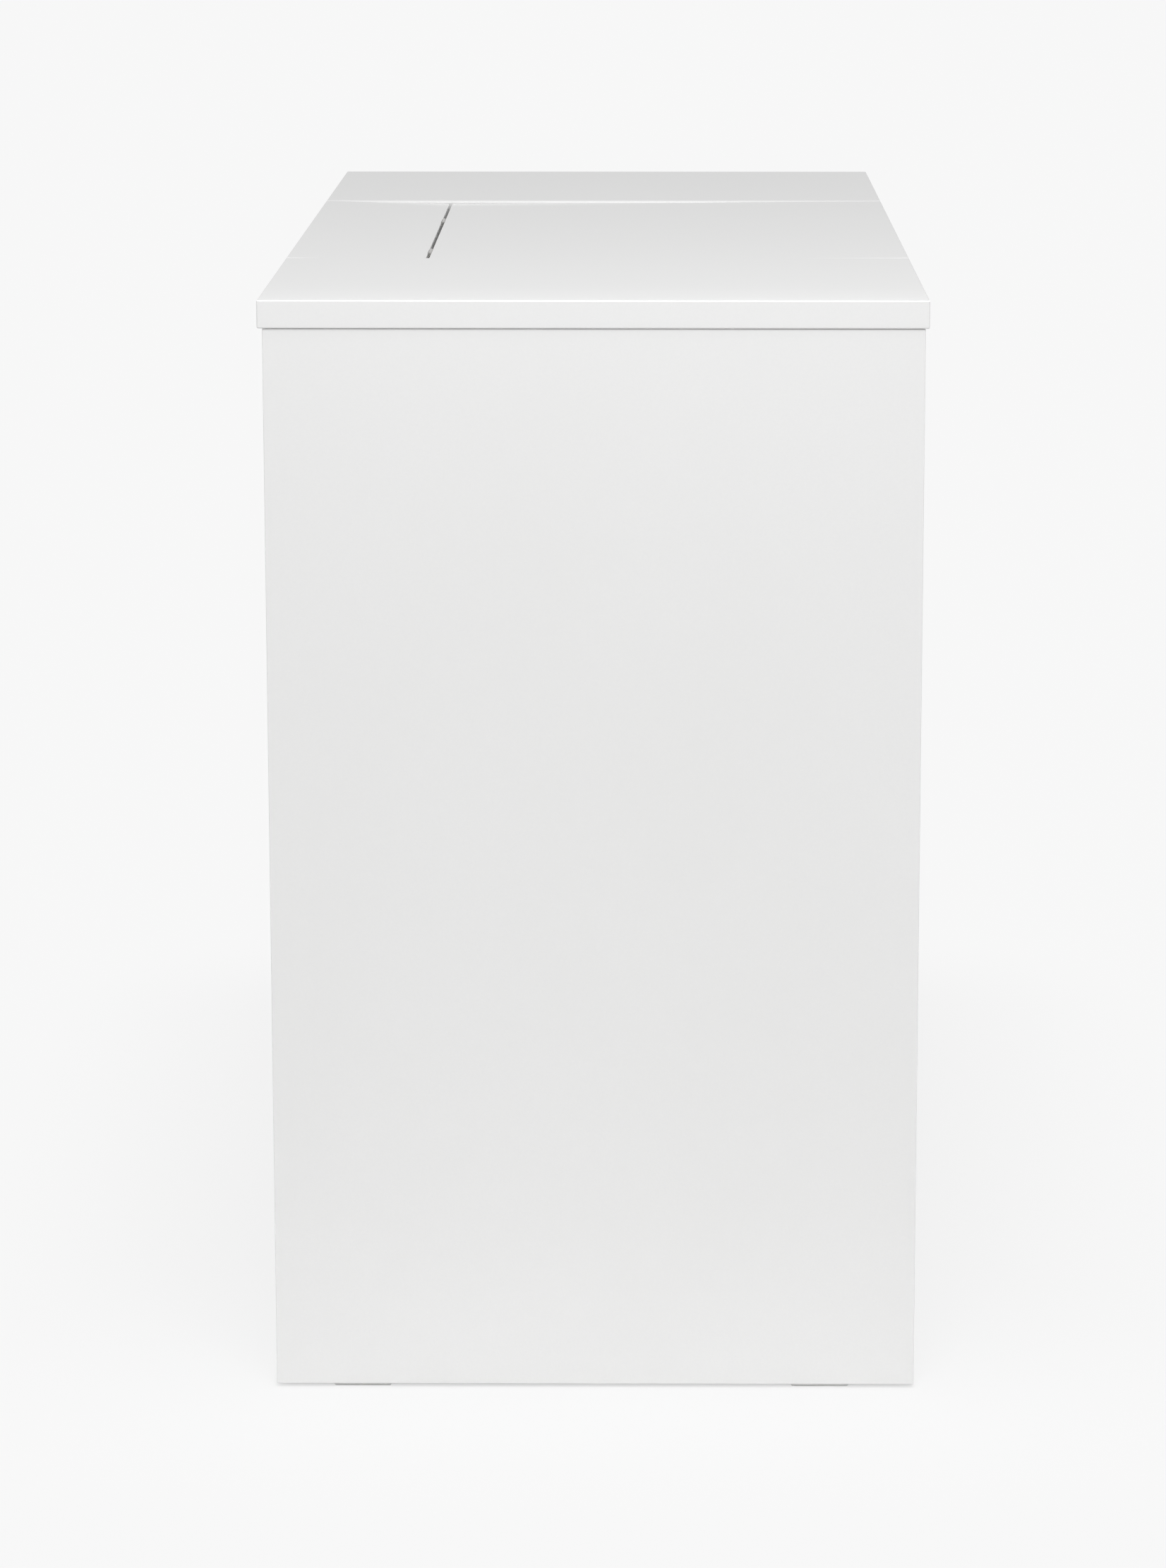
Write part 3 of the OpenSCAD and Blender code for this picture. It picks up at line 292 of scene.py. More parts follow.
def stand_in(node, suffix, bm, **options):
    """A piece that replaces a CAD node, on its body and with its slot."""
    piece(node + suffix, bm, BODY_OF[node], SLOT_OF[node], replaces=[node], **options)


move = Matrix.Translation


def spin(angle, axis="Z"):
    """Matrix that turns by an angle in radians."""
    return Matrix.Rotation(angle, 4, axis)


def place(origin, axis="z", turn=0.0):
    """Matrix that puts a shape drawn along +Z at a point, turned by an angle and laid along an axis."""
    right = pi / 2
    lay = {
        "z": Matrix.Identity(4), "-z": spin(pi, "X"),
        "x": spin(right, "Y"), "-x": spin(-right, "Y"),
        "y": spin(-right, "X"), "-y": spin(right, "X"),
    }[axis]
    return move(origin) @ lay @ spin(turn)


def centre_of(node):
    low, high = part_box(node)
    return [(a + b) / 2 for a, b in zip(low, high)]


def upright(node):
    """Matrix that moves a shape onto the vertical through a node's middle."""
    x, y, _ = centre_of(node)
    return move((x, y, 0))


def round_off(bm, verts, bevel, segments=2, angle=28.0):
    """Rounds the edges among verts that are sharper than angle."""
    edges = dict.fromkeys(e for v in verts for e in v.link_edges if len(e.link_faces) == 2)
    sharp = [e for e in edges if e.calc_face_angle(0.0) > radians(angle)]
    if sharp and bevel > 0:
        bmesh.ops.bevel(bm, geom=sharp, offset=bevel, segments=segments, profile=0.5,
                        affect="EDGES", clamp_overlap=True)


def add_block(bm, low, high, matrix=Matrix.Identity(4)):
    """Adds a block with sharp edges to a bmesh, and returns its vertices."""
    verts = bmesh.ops.create_cube(bm, size=1.0)["verts"]
    size = Vector(high) - Vector(low)
    for v in verts:
        v.co = matrix @ Vector([(v.co[i] + 0.5) * size[i] + low[i] for i in range(3)])
    return verts


def add_box(bm, low, high, bevel=0.0, segments=3, matrix=Matrix.Identity(4)):
    """Adds a block with rounded edges to a bmesh."""
    round_off(bm, add_block(bm, Vector(low), Vector(high), matrix), bevel, segments)


def add_lathe(bm, profile, matrix=Matrix.Identity(4), segments=32):
    """Turns a profile of (radius, height) points round the matrix's Z axis. Radius 0 closes an end."""
    angles = [2 * pi * i / segments for i in range(segments)]
    rings = []
    for r, z in profile:
        points = [(r * cos(a), r * sin(a), z) for a in angles] if r > 0 else [(0, 0, z)]
        rings.append([bm.verts.new(matrix @ Vector(point)) for point in points])
    for lower, upper in zip(rings, rings[1:]):
        for i in range(segments):
            j = (i + 1) % segments
            corners = (lower[i % len(lower)], lower[j % len(lower)],
                       upper[j % len(upper)], upper[i % len(upper)])
            unique = list(dict.fromkeys(corners))
            if len(unique) > 2:
                bm.faces.new(unique)


def rise(base, *points):
    """Lathe points from (radius, height) in millimetres, with the heights above a base in metres."""
    return [(r * MM, base + z * MM) for r, z in points]


def stitch(bm, rows, closed=True, flip=False):
    """Joins each row of vertices to the next by faces, which flip turns over. Closed rows run round,
    and are capped at both ends."""
    for a, b in zip(rows, rows[1:]):
        for i in range(len(a) if closed else len(a) - 1):
            j = (i + 1) % len(a)
            bm.faces.new((a[i], b[i], b[j], a[j]) if flip else (a[i], a[j], b[j], b[i]))
    if closed:
        bm.faces.new(rows[0] if flip else rows[0][::-1])
        bm.faces.new(rows[-1][::-1] if flip else rows[-1])


def add_prism(bm, outline, low, high, matrix=Matrix.Identity(4), bevel=0.0, segments=2):
    """Raises an outline of (x, y) points between two heights, with its edges rounded."""
    ground = [bm.verts.new(matrix @ Vector((x, y, low))) for x, y in outline]
    top = [bm.verts.new(matrix @ Vector((x, y, high))) for x, y in outline]
    bm.faces.new(list(reversed(ground)))
    bm.faces.new(top)
    for i in range(len(outline)):
        j = (i + 1) % len(outline)
        bm.faces.new((ground[i], ground[j], top[j], top[i]))
    round_off(bm, ground + top, bevel, segments)


def arc(centre, radius, start, end, steps):
    """Points on an arc, angles in degrees."""
    angles = [radians(start + (end - start) * i / steps) for i in range(steps + 1)]
    return [(centre[0] + radius * cos(a), centre[1] + radius * sin(a)) for a in angles]


def round_outline(half_x, half_y, radius, steps=6):
    """Outline of a centred rectangle with round corners."""
    points = []
    for i, (sx, sy) in enumerate(((1, 1), (-1, 1), (-1, -1), (1, -1))):
        points += arc((sx * (half_x - radius), sy * (half_y - radius)), radius, 90 * i, 90 * i + 90, steps)
    return points


def add_bolt(bm, matrix, across=10 * MM, high=4 * MM, washer=True):
    """Hexagon head on a washer, drawn up from the matrix's origin."""
    r = across / 2 / cos(radians(30))
    base = 0.0
    if washer:
        base = 1.2 * MM
        add_lathe(bm, [(0, 0), (r * 1.45, 0), (r * 1.5, 0.3 * MM), (r * 1.5, base - 0.3 * MM),
                       (r * 1.42, base), (0, base)], matrix, 28)
    outline = [(r * cos(radians(60 * i)), r * sin(radians(60 * i))) for i in range(6)]
    add_prism(bm, outline, base, base + high * 0.86, matrix, 0.25 * MM)
    add_lathe(bm, [(across * 0.46, base + high * 0.85), (across * 0.42, base + high), (0, base + high)],
              matrix, 24)


def add_screw(bm, matrix, radius=3.5 * MM, high=1.6 * MM):
    """Domed screw head with a cross recess."""
    shape = ((1, 0), (1, 0.25), (0.86, 0.7), (0.55, 0.95), (0.5, 1), (0.42, 0.98), (0.38, 0.55), (0, 0.45))
    add_lathe(bm, [(radius * r, high * z) for r, z in shape], matrix, 24)
    arm, width = radius * 0.43, radius * 0.13
    for turn in (0, pi / 2):
        add_box(bm, (-arm, -width, high * 0.3), (arm, width, high * 0.56), matrix=matrix @ spin(turn))


def cad_copy(node, bevel=0.0, segments=2, angle=28.0):
    """A bmesh with the shape of a CAD node, its facets joined up and its sharp edges rounded."""
    source = frame["nodes"][node]
    bm = bmesh.new()
    bm.from_mesh(source.data)
    bm.transform(source.matrix_world)
    bmesh.ops.remove_doubles(bm, verts=bm.verts, dist=1e-6)
    bmesh.ops.dissolve_limit(bm, angle_limit=radians(0.5), use_dissolve_boundaries=False,
                             verts=bm.verts, edges=bm.edges, delimit={"NORMAL"})
    round_off(bm, bm.verts, bevel, segments, angle)
    return bm


def refined(node, bevel, suffix="_finished", **options):
    """Replaces a CAD node by its own shape with rounded edges."""
    stand_in(node, suffix, cad_copy(node, bevel, **options), weighted=True)


# ---------------------------------------------------------------- cabinet

WORKTOP_RADIUS = 1.3 * MM
SEAM_RADIUS = 2.4 * MM
LID_RADIUS = 1.1 * MM
BOARD_T = 22 * MM
LID_SLOT = 2.4 * MM
LID_DROP_SEAM = 2.6 * MM
LID_DROP_FRONT = 0.1 * MM
HINGE_DEPTH = 1.3 * MM
NOTCH_R = 1.9 * MM
NOTCH_HALF = 15.3 * MM
PANEL_GROWS_OUT = 1.5 * MM
PANEL_GROWS_UP = 0.5 * MM


def worktop_board(low, high, radius, seam_sides, matrix=Matrix.Identity(4)):
    """A rounded board. The top edges beside its seams, on the sides named, are rounded more."""
    low, high = Vector(low), Vector(high)
    middle = (low + high) / 2
    bm = bmesh.new()
    add_block(bm, low, high)
    seams = [e for e in bm.edges for side in seam_sides
             if all(v.co.z > middle.z and (v.co.y - middle.y) * side > 0 for v in e.verts)]
    bmesh.ops.bevel(bm, geom=seams, offset=SEAM_RADIUS, segments=6, profile=0.5, affect="EDGES")
    round_off(bm, bm.verts, radius, 4)
    bm.transform(matrix)
    return bm


def carve(bm, cutter):
    """Cuts the closed shape cutter out of bm, and returns the rest."""
    pair = []
    for name, shape in (("carved", bm), ("cutter", cutter)):
        mesh = bpy.data.meshes.new(name)
        bmesh.ops.recalc_face_normals(shape, faces=shape.faces)
        shape.to_mesh(mesh)
        shape.free()
        pair.append(add_object(name, mesh))
    modifier = pair[0].modifiers.new("cut", "BOOLEAN")
    modifier.object = pair[1]
    modifier.solver = "EXACT"
    evaluated = pair[0].evaluated_get(bpy.context.evaluated_depsgraph_get())
    rest = bmesh.new()
    rest.from_mesh(evaluated.to_mesh())
    evaluated.to_mesh_clear()
    for obj in pair:
        mesh = obj.data
        bpy.data.objects.remove(obj)
        bpy.data.meshes.remove(mesh)
    return rest


def hinge_middles():
    """Where the middle of each lid hinge is along its pin."""
    ends = sorted({round(v.co.y, 4) for v in frame["nodes"]["lid_hinge_pins"].data.vertices})
    return [(a + b) / 2 for a, b in zip(ends[0::2], ends[1::2])]


def worktop():
    """Side boards, and the lid and rear strip that slope down to the slot between them."""
    for node, seam_side in (("worktop_near", 1), ("worktop_far", -1)):
        bm = worktop_board(*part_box(node), WORKTOP_RADIUS, [seam_side])
        stand_in(node, "_lacquered", bm, weighted=True)
    rear_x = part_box("worktop_near")[0][0]
    front_x, _, top_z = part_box("worktop_near")[1]
    seam_x = centre_of("lid_hinge_pins")[0]
    seam_z = top_z - LID_DROP_SEAM
    notch = [(0, -NOTCH_HALF), (NOTCH_R, -NOTCH_HALF), (NOTCH_R, NOTCH_HALF), (0, NOTCH_HALF)]
    for node, way, drop in (("lid", 1, LID_DROP_SEAM - LID_DROP_FRONT), ("worktop_rear", -1, LID_DROP_SEAM)):
        box_low, box_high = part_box(node)
        slot_x = seam_x + way * LID_SLOT / 2
        length = front_x - slot_x if way > 0 else slot_x - rear_x
        tilt = spin(-way * asin(drop / length), "Y")
        matrix = move((slot_x, 0, seam_z)) @ tilt
        x0, x1 = sorted((0, way * length))
        board = worktop_board((x0, box_low[1], -BOARD_T), (x1, box_high[1], 0), LID_RADIUS, [-1, 1], matrix)
        notches = bmesh.new()
        for y in hinge_middles():
            add_lathe(notches, notch, place((seam_x, y, seam_z - HINGE_DEPTH), "y"), 48)
        stand_in(node, "_lacquered", carve(board, notches), weighted=True)


def cabinet_boards():
    """Every other lacquered board. The end panels grow a little, towards the worktop's overhang."""
    for node, side in (("end_panel_near", -1), ("end_panel_far", 1), ("drawer_front", 0)):
        low, high = (Vector(corner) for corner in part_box(node))
        if side:
            high.z += PANEL_GROWS_UP
            outer = low if side < 0 else high
            outer.y += side * PANEL_GROWS_OUT
        bm = bmesh.new()
        add_box(bm, low, high, 0.7 * MM, 4)
        stand_in(node, "_lacquered", bm, weighted=True)
    for node in ("door_near", "door_far", "shelves"):
        refined(node, 0.4 * MM, "_lacquered")
    for node in ("partition_near", "partition_far", "bottom_panel", "plinth_front", "plinth_rear",
                 "top_rails"):
        refined(node, 0.6 * MM, "_lacquered")


def back_panel():
    """Back panel with eased vents, and the screws that hold it round its edge."""
    refined("back_panel", 0.5 * MM, "_lacquered")
    low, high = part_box("back_panel")
    inset, rows, columns = 12 * MM, 6, 7
    inner = [centre_of("partition_near")[1], centre_of("partition_far")[1]]
    bm = bmesh.new()
    for i in range(columns):
        y = low[1] + inset + (high[1] - low[1] - 2 * inset) * i / (columns - 1)
        for z in (low[2] + inset, high[2] - inset):
            add_screw(bm, place((low[0], y, z), "-x", 0.4 * i), 3.2 * MM, 1.3 * MM)
    for i in range(1, rows):
        z = low[2] + inset + (high[2] - low[2] - 2 * inset) * i / rows
        for y in (low[1] + inset, *inner, high[1] - inset):
            add_screw(bm, place((low[0], y, z), "-x", 0.7 * i), 3.2 * MM, 1.3 * MM)
    piece("back_panel_screws", bm, "cabinet", "hinge_steel")


def hinges():
    """Lid hinges: rounded leaves and knuckles, and two screws in each leaf."""
    for node in ("lid_leaves_fixed", "lid_leaves_moving"):
        refined(node, 0.15 * MM)
    refined("lid_hinge_pins", 0.2 * MM)
    seam_x = centre_of("lid_hinge_pins")[0]
    screw_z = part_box("lid_leaves_fixed")[0][2] + 6 * MM
    head = rise(0, (0, 0), (2.2, 0), (2.0, 0.14), (0.7, 0.16), (0, 0.04))
    for name, body, x, axis in (("fixed", "cabinet", -0.66 * MM, "x"), ("moving", "lid", 0.5 * MM, "-x")):
        bm = bmesh.new()
        for y in hinge_middles():
            for offset in (-9 * MM, 9 * MM):
                add_lathe(bm, head, place((seam_x + x, y + offset, screw_z), axis), 20)
        piece("lid_hinge_screws_" + name, bm, body, "hinge_steel")


def lid_bumpers():
    """Rubber stops on the partitions, under the front corners of the lid."""
    ledge_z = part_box("lid")[0][2] - 0.3 * MM
    front_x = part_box("worktop_near")[1][0] - 20 * MM
    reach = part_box("partition_far")[0][1] + 4 * MM
    bm = bmesh.new()
    for side in (-1, 1):
        add_lathe(bm, rise(0, (0, 0), (3, 0), (3, 1.54), (2.4, 2.2), (0, 2.2)),
                  place((front_x, side * reach, ledge_z)), 24)
    piece("lid_bumpers", bm, "cabinet", "glide_plastic", "rubber")


def small_cabinet_parts():
    """Pins and brackets of the shelves and doors, and the moulded glides."""
    refined("shelf_pins", 0.4 * MM)
    refined("door_pins", 0.4 * MM)
    refined("door_brackets", 0.6 * MM)
    refined("glides", 0.6 * MM, "_moulded", angle=24)


worktop()
cabinet_boards()
back_panel()
hinges()
lid_bumpers()
small_cabinet_parts()

# ---------------------------------------------------------------- chassis and drive

SCREW_Y = centre_of("screw_far")[1]
RAM_X = centre_of("screw_far")[0]
MOTOR_X = centre_of("motor_sprocket")[0]
CHAIN_Z = centre_of("drive_chain")[2]
CHAIN_PITCH = 9.525 * MM
TEETH = 14
PITCH_R = CHAIN_PITCH / (2 * sin(pi / TEETH))


def chassis():
    """Folded steel frame with its bolts and the screws' bushes."""
    for node in ("frame_base", "frame_side_near", "frame_side_far", "power_head", "bearing_brackets"):
        refined(node, 0.5 * MM)
    bolts = bmesh.new()
    for side, node in ((-1, "frame_side_near"), (1, "frame_side_far")):
        low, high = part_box(node)
        face = high[1] if side < 0 else low[1]
        out = "y" if side < 0 else "-y"
        for x in (low[0] + 14 * MM, high[0] - 14 * MM):
            for z in (low[2] + 14 * MM, low[2] + 200 * MM, high[2] - 230 * MM, high[2] - 60 * MM):
                add_bolt(bolts, place((x, face, z), out, 0.3 * z / MM), 8 * MM, 3.2 * MM)
        bracket_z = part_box("bearing_brackets")[0][2] + 13 * MM
        for x in (RAM_X - 15 * MM, RAM_X + 15 * MM):
            add_bolt(bolts, place((x, face - side * 4 * MM, bracket_z), out, 0.2), 8 * MM, 3.2 * MM)
    low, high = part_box("frame_base")
    base_z = low[2] + 3 * MM
    for x in (low[0] + 20 * MM, high[0] - 16 * MM):
        for y in (low[1] + 40 * MM, high[1] - 40 * MM):
            add_bolt(bolts, place((x, y, base_z), "z", 0.5), 8 * MM, 3.2 * MM)
    piece("frame_bolts", bolts, "cabinet", "hinge_steel")
    refined("screw_bushes", 0.4 * MM)


def power_screw(side):
    """Two-start trapezoidal screw between plain journals with a chamfered shoulder."""
    node = "screw_near" if side < 0 else "screw_far"
    low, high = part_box(node)
    lead, starts, core, crest = 10 * MM, 2, 8.3 * MM, 10 * MM
    thread_low, thread_high = low[2] + 10.3 * MM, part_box("power_head")[1][2] - 7.3 * MM
    centre = Vector((RAM_X, side * SCREW_Y, 0))
    pitch = lead / starts
    profile = []
    for start in range(starts):
        z = start * pitch
        profile += [(core, z), (core, z + 0.32 * pitch), (crest, z + 0.5 * pitch), (crest, z + 0.82 * pitch)]
    profile.append((core, lead))
    bm = bmesh.new()
    steps = 28
    first = floor((thread_low - lead) / lead)
    turns = ceil((thread_high - thread_low) / lead) + 3
    rows = []
    for j in range(turns * steps + 1):
        a = 2 * pi * j / steps
        up = first * lead + lead * j / steps
        rows.append([bm.verts.new(centre + Vector((r * cos(a), r * sin(a), up + z)))
                     for r, z in profile])
    stitch(bm, rows, closed=False, flip=True)
    bmesh.ops.remove_doubles(bm, verts=bm.verts, dist=1e-6)
    for z, normal in ((thread_low, (0, 0, -1)), (thread_high, (0, 0, 1))):
        geometry = list(bm.verts) + list(bm.edges) + list(bm.faces)
        bmesh.ops.bisect_plane(bm, geom=geometry, plane_co=(0, 0, z), plane_no=normal, clear_outer=True)
    matrix = move(centre)
    for z, way in ((thread_low, 1), (thread_high, -1)):
        shoulder = rise(z, (0, 0), (9, 0), (10, way * 0.9), (10, way * 2.2), (8.3, way * 3.4))
        add_lathe(bm, shoulder, matrix, 40)
    foot = rise(low[2], (0, 0), (6.2, 0), (7, 0.8)) + rise(thread_low, (7, 0.1), (0, 0.1))
    head = rise(thread_high, (0, -0.1), (8, -0.1))
    head += rise(high[2], (8, -1), (7, 0), (2.4, 0), (1, -2), (0, -2.2))
    add_lathe(bm, foot, matrix, 40)
    add_lathe(bm, head, matrix, 40)
    stand_in(node, "_threaded", bm, sharp=24)


def sprockets():
    """Toothed wheels with two set screws in each hub."""
    socket = rise(0, (0, 0), (2.2, 0), (2.2, 0.45), (1.9, 0.6), (1.1, 0.6), (1.1, 0.1), (0, 0.1))
    hub_z = CHAIN_Z + 6.5 * MM
    for node in ("sprocket_near", "sprocket_far", "motor_sprocket"):
        bm = cad_copy(node, 0.35 * MM)
        for turn in (90, 210):
            matrix = upright(node) @ spin(radians(turn)) @ place((14.2 * MM, 0, hub_z), "x")
            add_lathe(bm, socket, matrix, 18)
        stand_in(node, "_turned", bm, weighted=True)


def chain_route(steps_back=15, half_steps=20):
    """Roller centres once round the loop over the three sprockets, one pitch apart."""
    front = [Vector((RAM_X + PITCH_R, i * CHAIN_PITCH)) for i in range(half_steps + 1)]
    step = 2 * pi / TEETH
    leg_angle = atan2(half_steps, steps_back)
    wrap = pi / 2 + leg_angle
    on_arc = int(wrap / step)
    leg_start = on_arc + 1 - wrap / step
    centre = Vector((RAM_X, SCREW_Y))
    arc_points = [centre + PITCH_R * Vector((cos(i * step), sin(i * step)))
                  for i in range(1, on_arc + 1)]
    out = Vector((cos(wrap), sin(wrap)))
    way = Vector((-out.y, out.x))
    legs = round(hypot(half_steps, steps_back))
    leg = [centre + PITCH_R * out + (leg_start + i) * CHAIN_PITCH * way for i in range(legs)]
    motor = Vector((MOTOR_X, 0))
    turn_in = motor + Vector((-PITCH_R * cos(step), PITCH_R * sin(step)))
    half = front[1:] + arc_points + leg + [turn_in]
    tail = motor + Vector((-PITCH_R, 0))
    return [front[0]] + half + [tail] + [Vector((p.x, -p.y)) for p in reversed(half)]


def link_outline(length, head=3.9 * MM, waist=3.0 * MM):
    """Figure-eight side plate of a link, centred."""
    ends = arc((length / 2, 0), head, -58, 58, 6) + [(0, waist)] + arc((-length / 2, 0), head, 122, 238, 6)
    return ends + [(0, -waist)]


def drive_chain():
    """Every link of the roller chain: inner and outer plates by turns, with rollers and riveted pins."""
    route = chain_route()
    bm = bmesh.new()
    outline = link_outline(CHAIN_PITCH)
    inner, outer, plate = 2.87 * MM, 3.95 * MM, 1.0 * MM
    pin = rise(0, (0, -5.4), (1.2, -5.4), (1.6, -5.05), (1.6, 5.05), (1.2, 5.4), (0, 5.4))
    for i, here in enumerate(route):
        there = route[(i + 1) % len(route)]
        heading = atan2(there.y - here.y, there.x - here.x)
        middle = (here + there) / 2
        matrix = move((middle.x, middle.y, CHAIN_Z)) @ spin(heading)
        low = inner if i % 2 else outer
        add_prism(bm, outline, low, low + plate, matrix)
        add_prism(bm, outline, -low - plate, -low, matrix)
        spot = move((here.x, here.y, CHAIN_Z))
        add_lathe(bm, [(3.1 * MM, -inner + 0.1 * MM), (3.1 * MM, inner - 0.1 * MM)], spot, 16)
        add_lathe(bm, pin, spot, 12)
    stand_in("drive_chain", "_links", bm)


def motor():
    """Ribbed motor with rolled end bells, its bolts and its terminal box."""
    low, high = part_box("motor")
    radius, bell = 45 * MM, 22 * MM
    centre = move((MOTOR_X, 0, 0))
    bm = bmesh.new()
    front = rise(low[2], (0, 0), (36, 0), (40, 1.5), (42.5, 6), (44.4, 9), (45, 11), (45, 22),
                 (43, 22.6), (41.6, 23))
    rear = rise(high[2], (41.6, -23), (43, -22.6), (45, -22), (45, -2), (43.4, 0), (0, 0))
    add_lathe(bm, front + rear, centre, 64)
    fins = 36
    for i in range(fins):
        turn = 2 * pi * i / fins
        if abs(sin(turn)) < 0.36 and cos(turn) > 0:
            continue
        add_box(bm, (radius - 4 * MM, -1.0 * MM, low[2] + bell + 0.5 * MM),
                (radius, 1.0 * MM, high[2] - bell - 0.5 * MM), 0.4 * MM, 2, centre @ spin(turn))
    terminal_low = Vector((MOTOR_X + 24.75 * MM, -15 * MM, low[2] + 30 * MM))
    terminal_high = Vector((MOTOR_X + 54.75 * MM, 15 * MM, low[2] + 80 * MM))
    add_box(bm, terminal_low, terminal_high - Vector((3 * MM, 0, 0)), 1.5 * MM)
    add_box(bm, terminal_low + Vector((27.6 * MM, 0, 0)), terminal_high, 1.2 * MM)
    stand_in("motor", "_ribbed", bm, sharp=35)
    metal = bmesh.new()
    for y in (-10 * MM, 10 * MM):
        for z in (terminal_low.z + 5 * MM, terminal_high.z - 5 * MM):
            add_screw(metal, place((terminal_high.x - 0.2 * MM, y, z), "x", z), 2.4 * MM, 1.1 * MM)
    for i in range(4):
        turn = radians(45 + 90 * i)
        spot = (MOTOR_X + 33 * MM * cos(turn), 33 * MM * sin(turn), low[2] + 0.8 * MM)
        add_bolt(metal, place(spot, "-z", turn), 6 * MM, 2.4 * MM, washer=False)
    piece("motor_fasteners", metal, "cabinet", "hinge_steel")


def gearbox():
    """Cast housing with a split line, ribs down its sides and a bolt at each corner boss."""
    low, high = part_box("gearbox")
    centre = centre_of("gearbox")
    half_x, half_y = (high[0] - low[0]) / 2, (high[1] - low[1]) / 2
    matrix = move((centre[0], centre[1], 0))
    skin = 2.5 * MM
    bm = bmesh.new()
    split = low[2] + 13 * MM
    rib, rib_low, rib_high = 1.5 * MM, low[2] + 3 * MM, high[2] - 3 * MM
    add_prism(bm, round_outline(half_x - skin, half_y - skin, 11 * MM, 5), low[2], high[2], matrix, 1.2 * MM)
    for z in (low[2], split, high[2] - 5 * MM):
        add_prism(bm, round_outline(half_x, half_y, 12 * MM, 6), z, z + 5 * MM, matrix, 1.0 * MM)
    for side in (-1, 1):
        for step in (-2, -1, 0, 1, 2):
            x = centre[0] + step * 15 * MM
            y0, y1 = sorted((side * (half_y - skin - 2 * MM), side * half_y))
            add_box(bm, (x - rib, y0, rib_low), (x + rib, y1, rib_high), 0.7 * MM, 2)
            y = step * 17 * MM
            x0, x1 = sorted((centre[0] + side * (half_x - skin - 2 * MM), centre[0] + side * half_x))
            add_box(bm, (x0, y - rib, rib_low), (x1, y + rib, rib_high), 0.7 * MM, 2)
    stand_in("gearbox", "_casting", bm)
    bolts = bmesh.new()
    head_front, _, head_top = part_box("power_head")[1]
    for x in (centre[0] - half_x + 9 * MM, centre[0] + half_x - 9 * MM):
        for y in (9 * MM - half_y, half_y - 9 * MM):
            if x < head_front:
                add_bolt(bolts, place((x, y, head_top - 0.05 * MM), "z", 0.4), 7 * MM, 2.4 * MM, washer=False)
            add_bolt(bolts, place((x, y, low[2]), "-z", 0.2), 7 * MM, 2.8 * MM)
    piece("gearbox_bolts", bolts, "cabinet", "hinge_steel")


chassis()
for screw_side in (-1, 1):
    power_screw(screw_side)
sprockets()
drive_chain()
motor()
gearbox()

# ---------------------------------------------------------------- ram


def add_weld(bm, start, end, radius=1.6 * MM, step=1.5 * MM):
    """Weld bead along a straight joint, drawn as overlapping flat beads."""
    start, end = Vector(start), Vector(end)
    count = max(2, int((end - start).length / step))
    for i in range(count + 1):
        spot = start.lerp(end, i / count)
        swell = 1 + 0.12 * sin(i * 2.4) + 0.06 * sin(i * 5.1)
        beads = bmesh.ops.create_icosphere(bm, subdivisions=1, radius=radius * swell)["verts"]
        for v in beads:
            v.co += spot


def ram():
    """Ram head: pressed tray with gussets, welded column, and the channel beam over it."""
    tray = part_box("ram_plate")[0][2] + 8 * MM
    refined("ram_plate", 1.0 * MM, "_pressed", segments=3)
    refined("ram_column", 0.5 * MM, "_painted")
    refined("ram_beam", 0.7 * MM, "_folded")
    refined("ram_nuts", 0.5 * MM, "_turned")
    column = 60 * MM
    reach_x, reach_y = 86 * MM, 82 * MM
    upend = spin(pi / 2, "X")
    gussets = bmesh.new()
    for side in (-1, 1):
        for offset in (-38 * MM, 38 * MM):
            root, tip = column - 0.5 * MM, column + reach_x - 4 * MM
            outline = [(root, 0), (tip, 0), (tip, 7 * MM), (column + 6 * MM, 21 * MM), (root, 21 * MM)]
            turn = 0 if side > 0 else pi
            frame_x = move((RAM_X, offset, tray)) @ spin(turn) @ upend
            add_prism(gussets, outline, -1.5 * MM, 1.5 * MM, frame_x, 0.4 * MM)
            outline_y = [(x if x < column + 1 * MM else x - (reach_x - reach_y), z) for x, z in outline]
            frame_y = move((RAM_X + offset, 0, tray)) @ spin(turn + pi / 2) @ upend
            add_prism(gussets, outline_y, -1.5 * MM, 1.5 * MM, frame_y, 0.4 * MM)
    piece("ram_gussets", gussets, "ram", "ram_paint")
    welds = bmesh.new()
    edge = column - 8 * MM
    beam_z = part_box("ram_beam")[0][2]
    for side in (-1, 1):
        add_weld(welds, (RAM_X - edge, side * column, tray), (RAM_X + edge, side * column, tray))
        add_weld(welds, (RAM_X + side * column, -edge, tray), (RAM_X + side * column, edge, tray))
        add_weld(welds, (RAM_X + side * 20 * MM, -edge, beam_z + 0.2 * MM),
                 (RAM_X + side * 20 * MM, edge, beam_z + 0.2 * MM), 1.3 * MM)
    piece("ram_welds", welds, "ram", "ram_steel", sharp=60)
    bolts = bmesh.new()
    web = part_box("ram_beam")[1][2]
    for side in (-1, 1):
        for dy in (-19 * MM, 19 * MM):
            if abs(side * SCREW_Y + dy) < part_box("ram_beam")[1][1] - 6 * MM:
                spot = place((RAM_X, side * SCREW_Y + dy, web), "z", 0.3)
                add_bolt(bolts, spot, 7 * MM, 2.2 * MM, washer=False)
    piece("ram_beam_bolts", bolts, "ram", "hinge_steel")


ram()

# ---------------------------------------------------------------- drawer


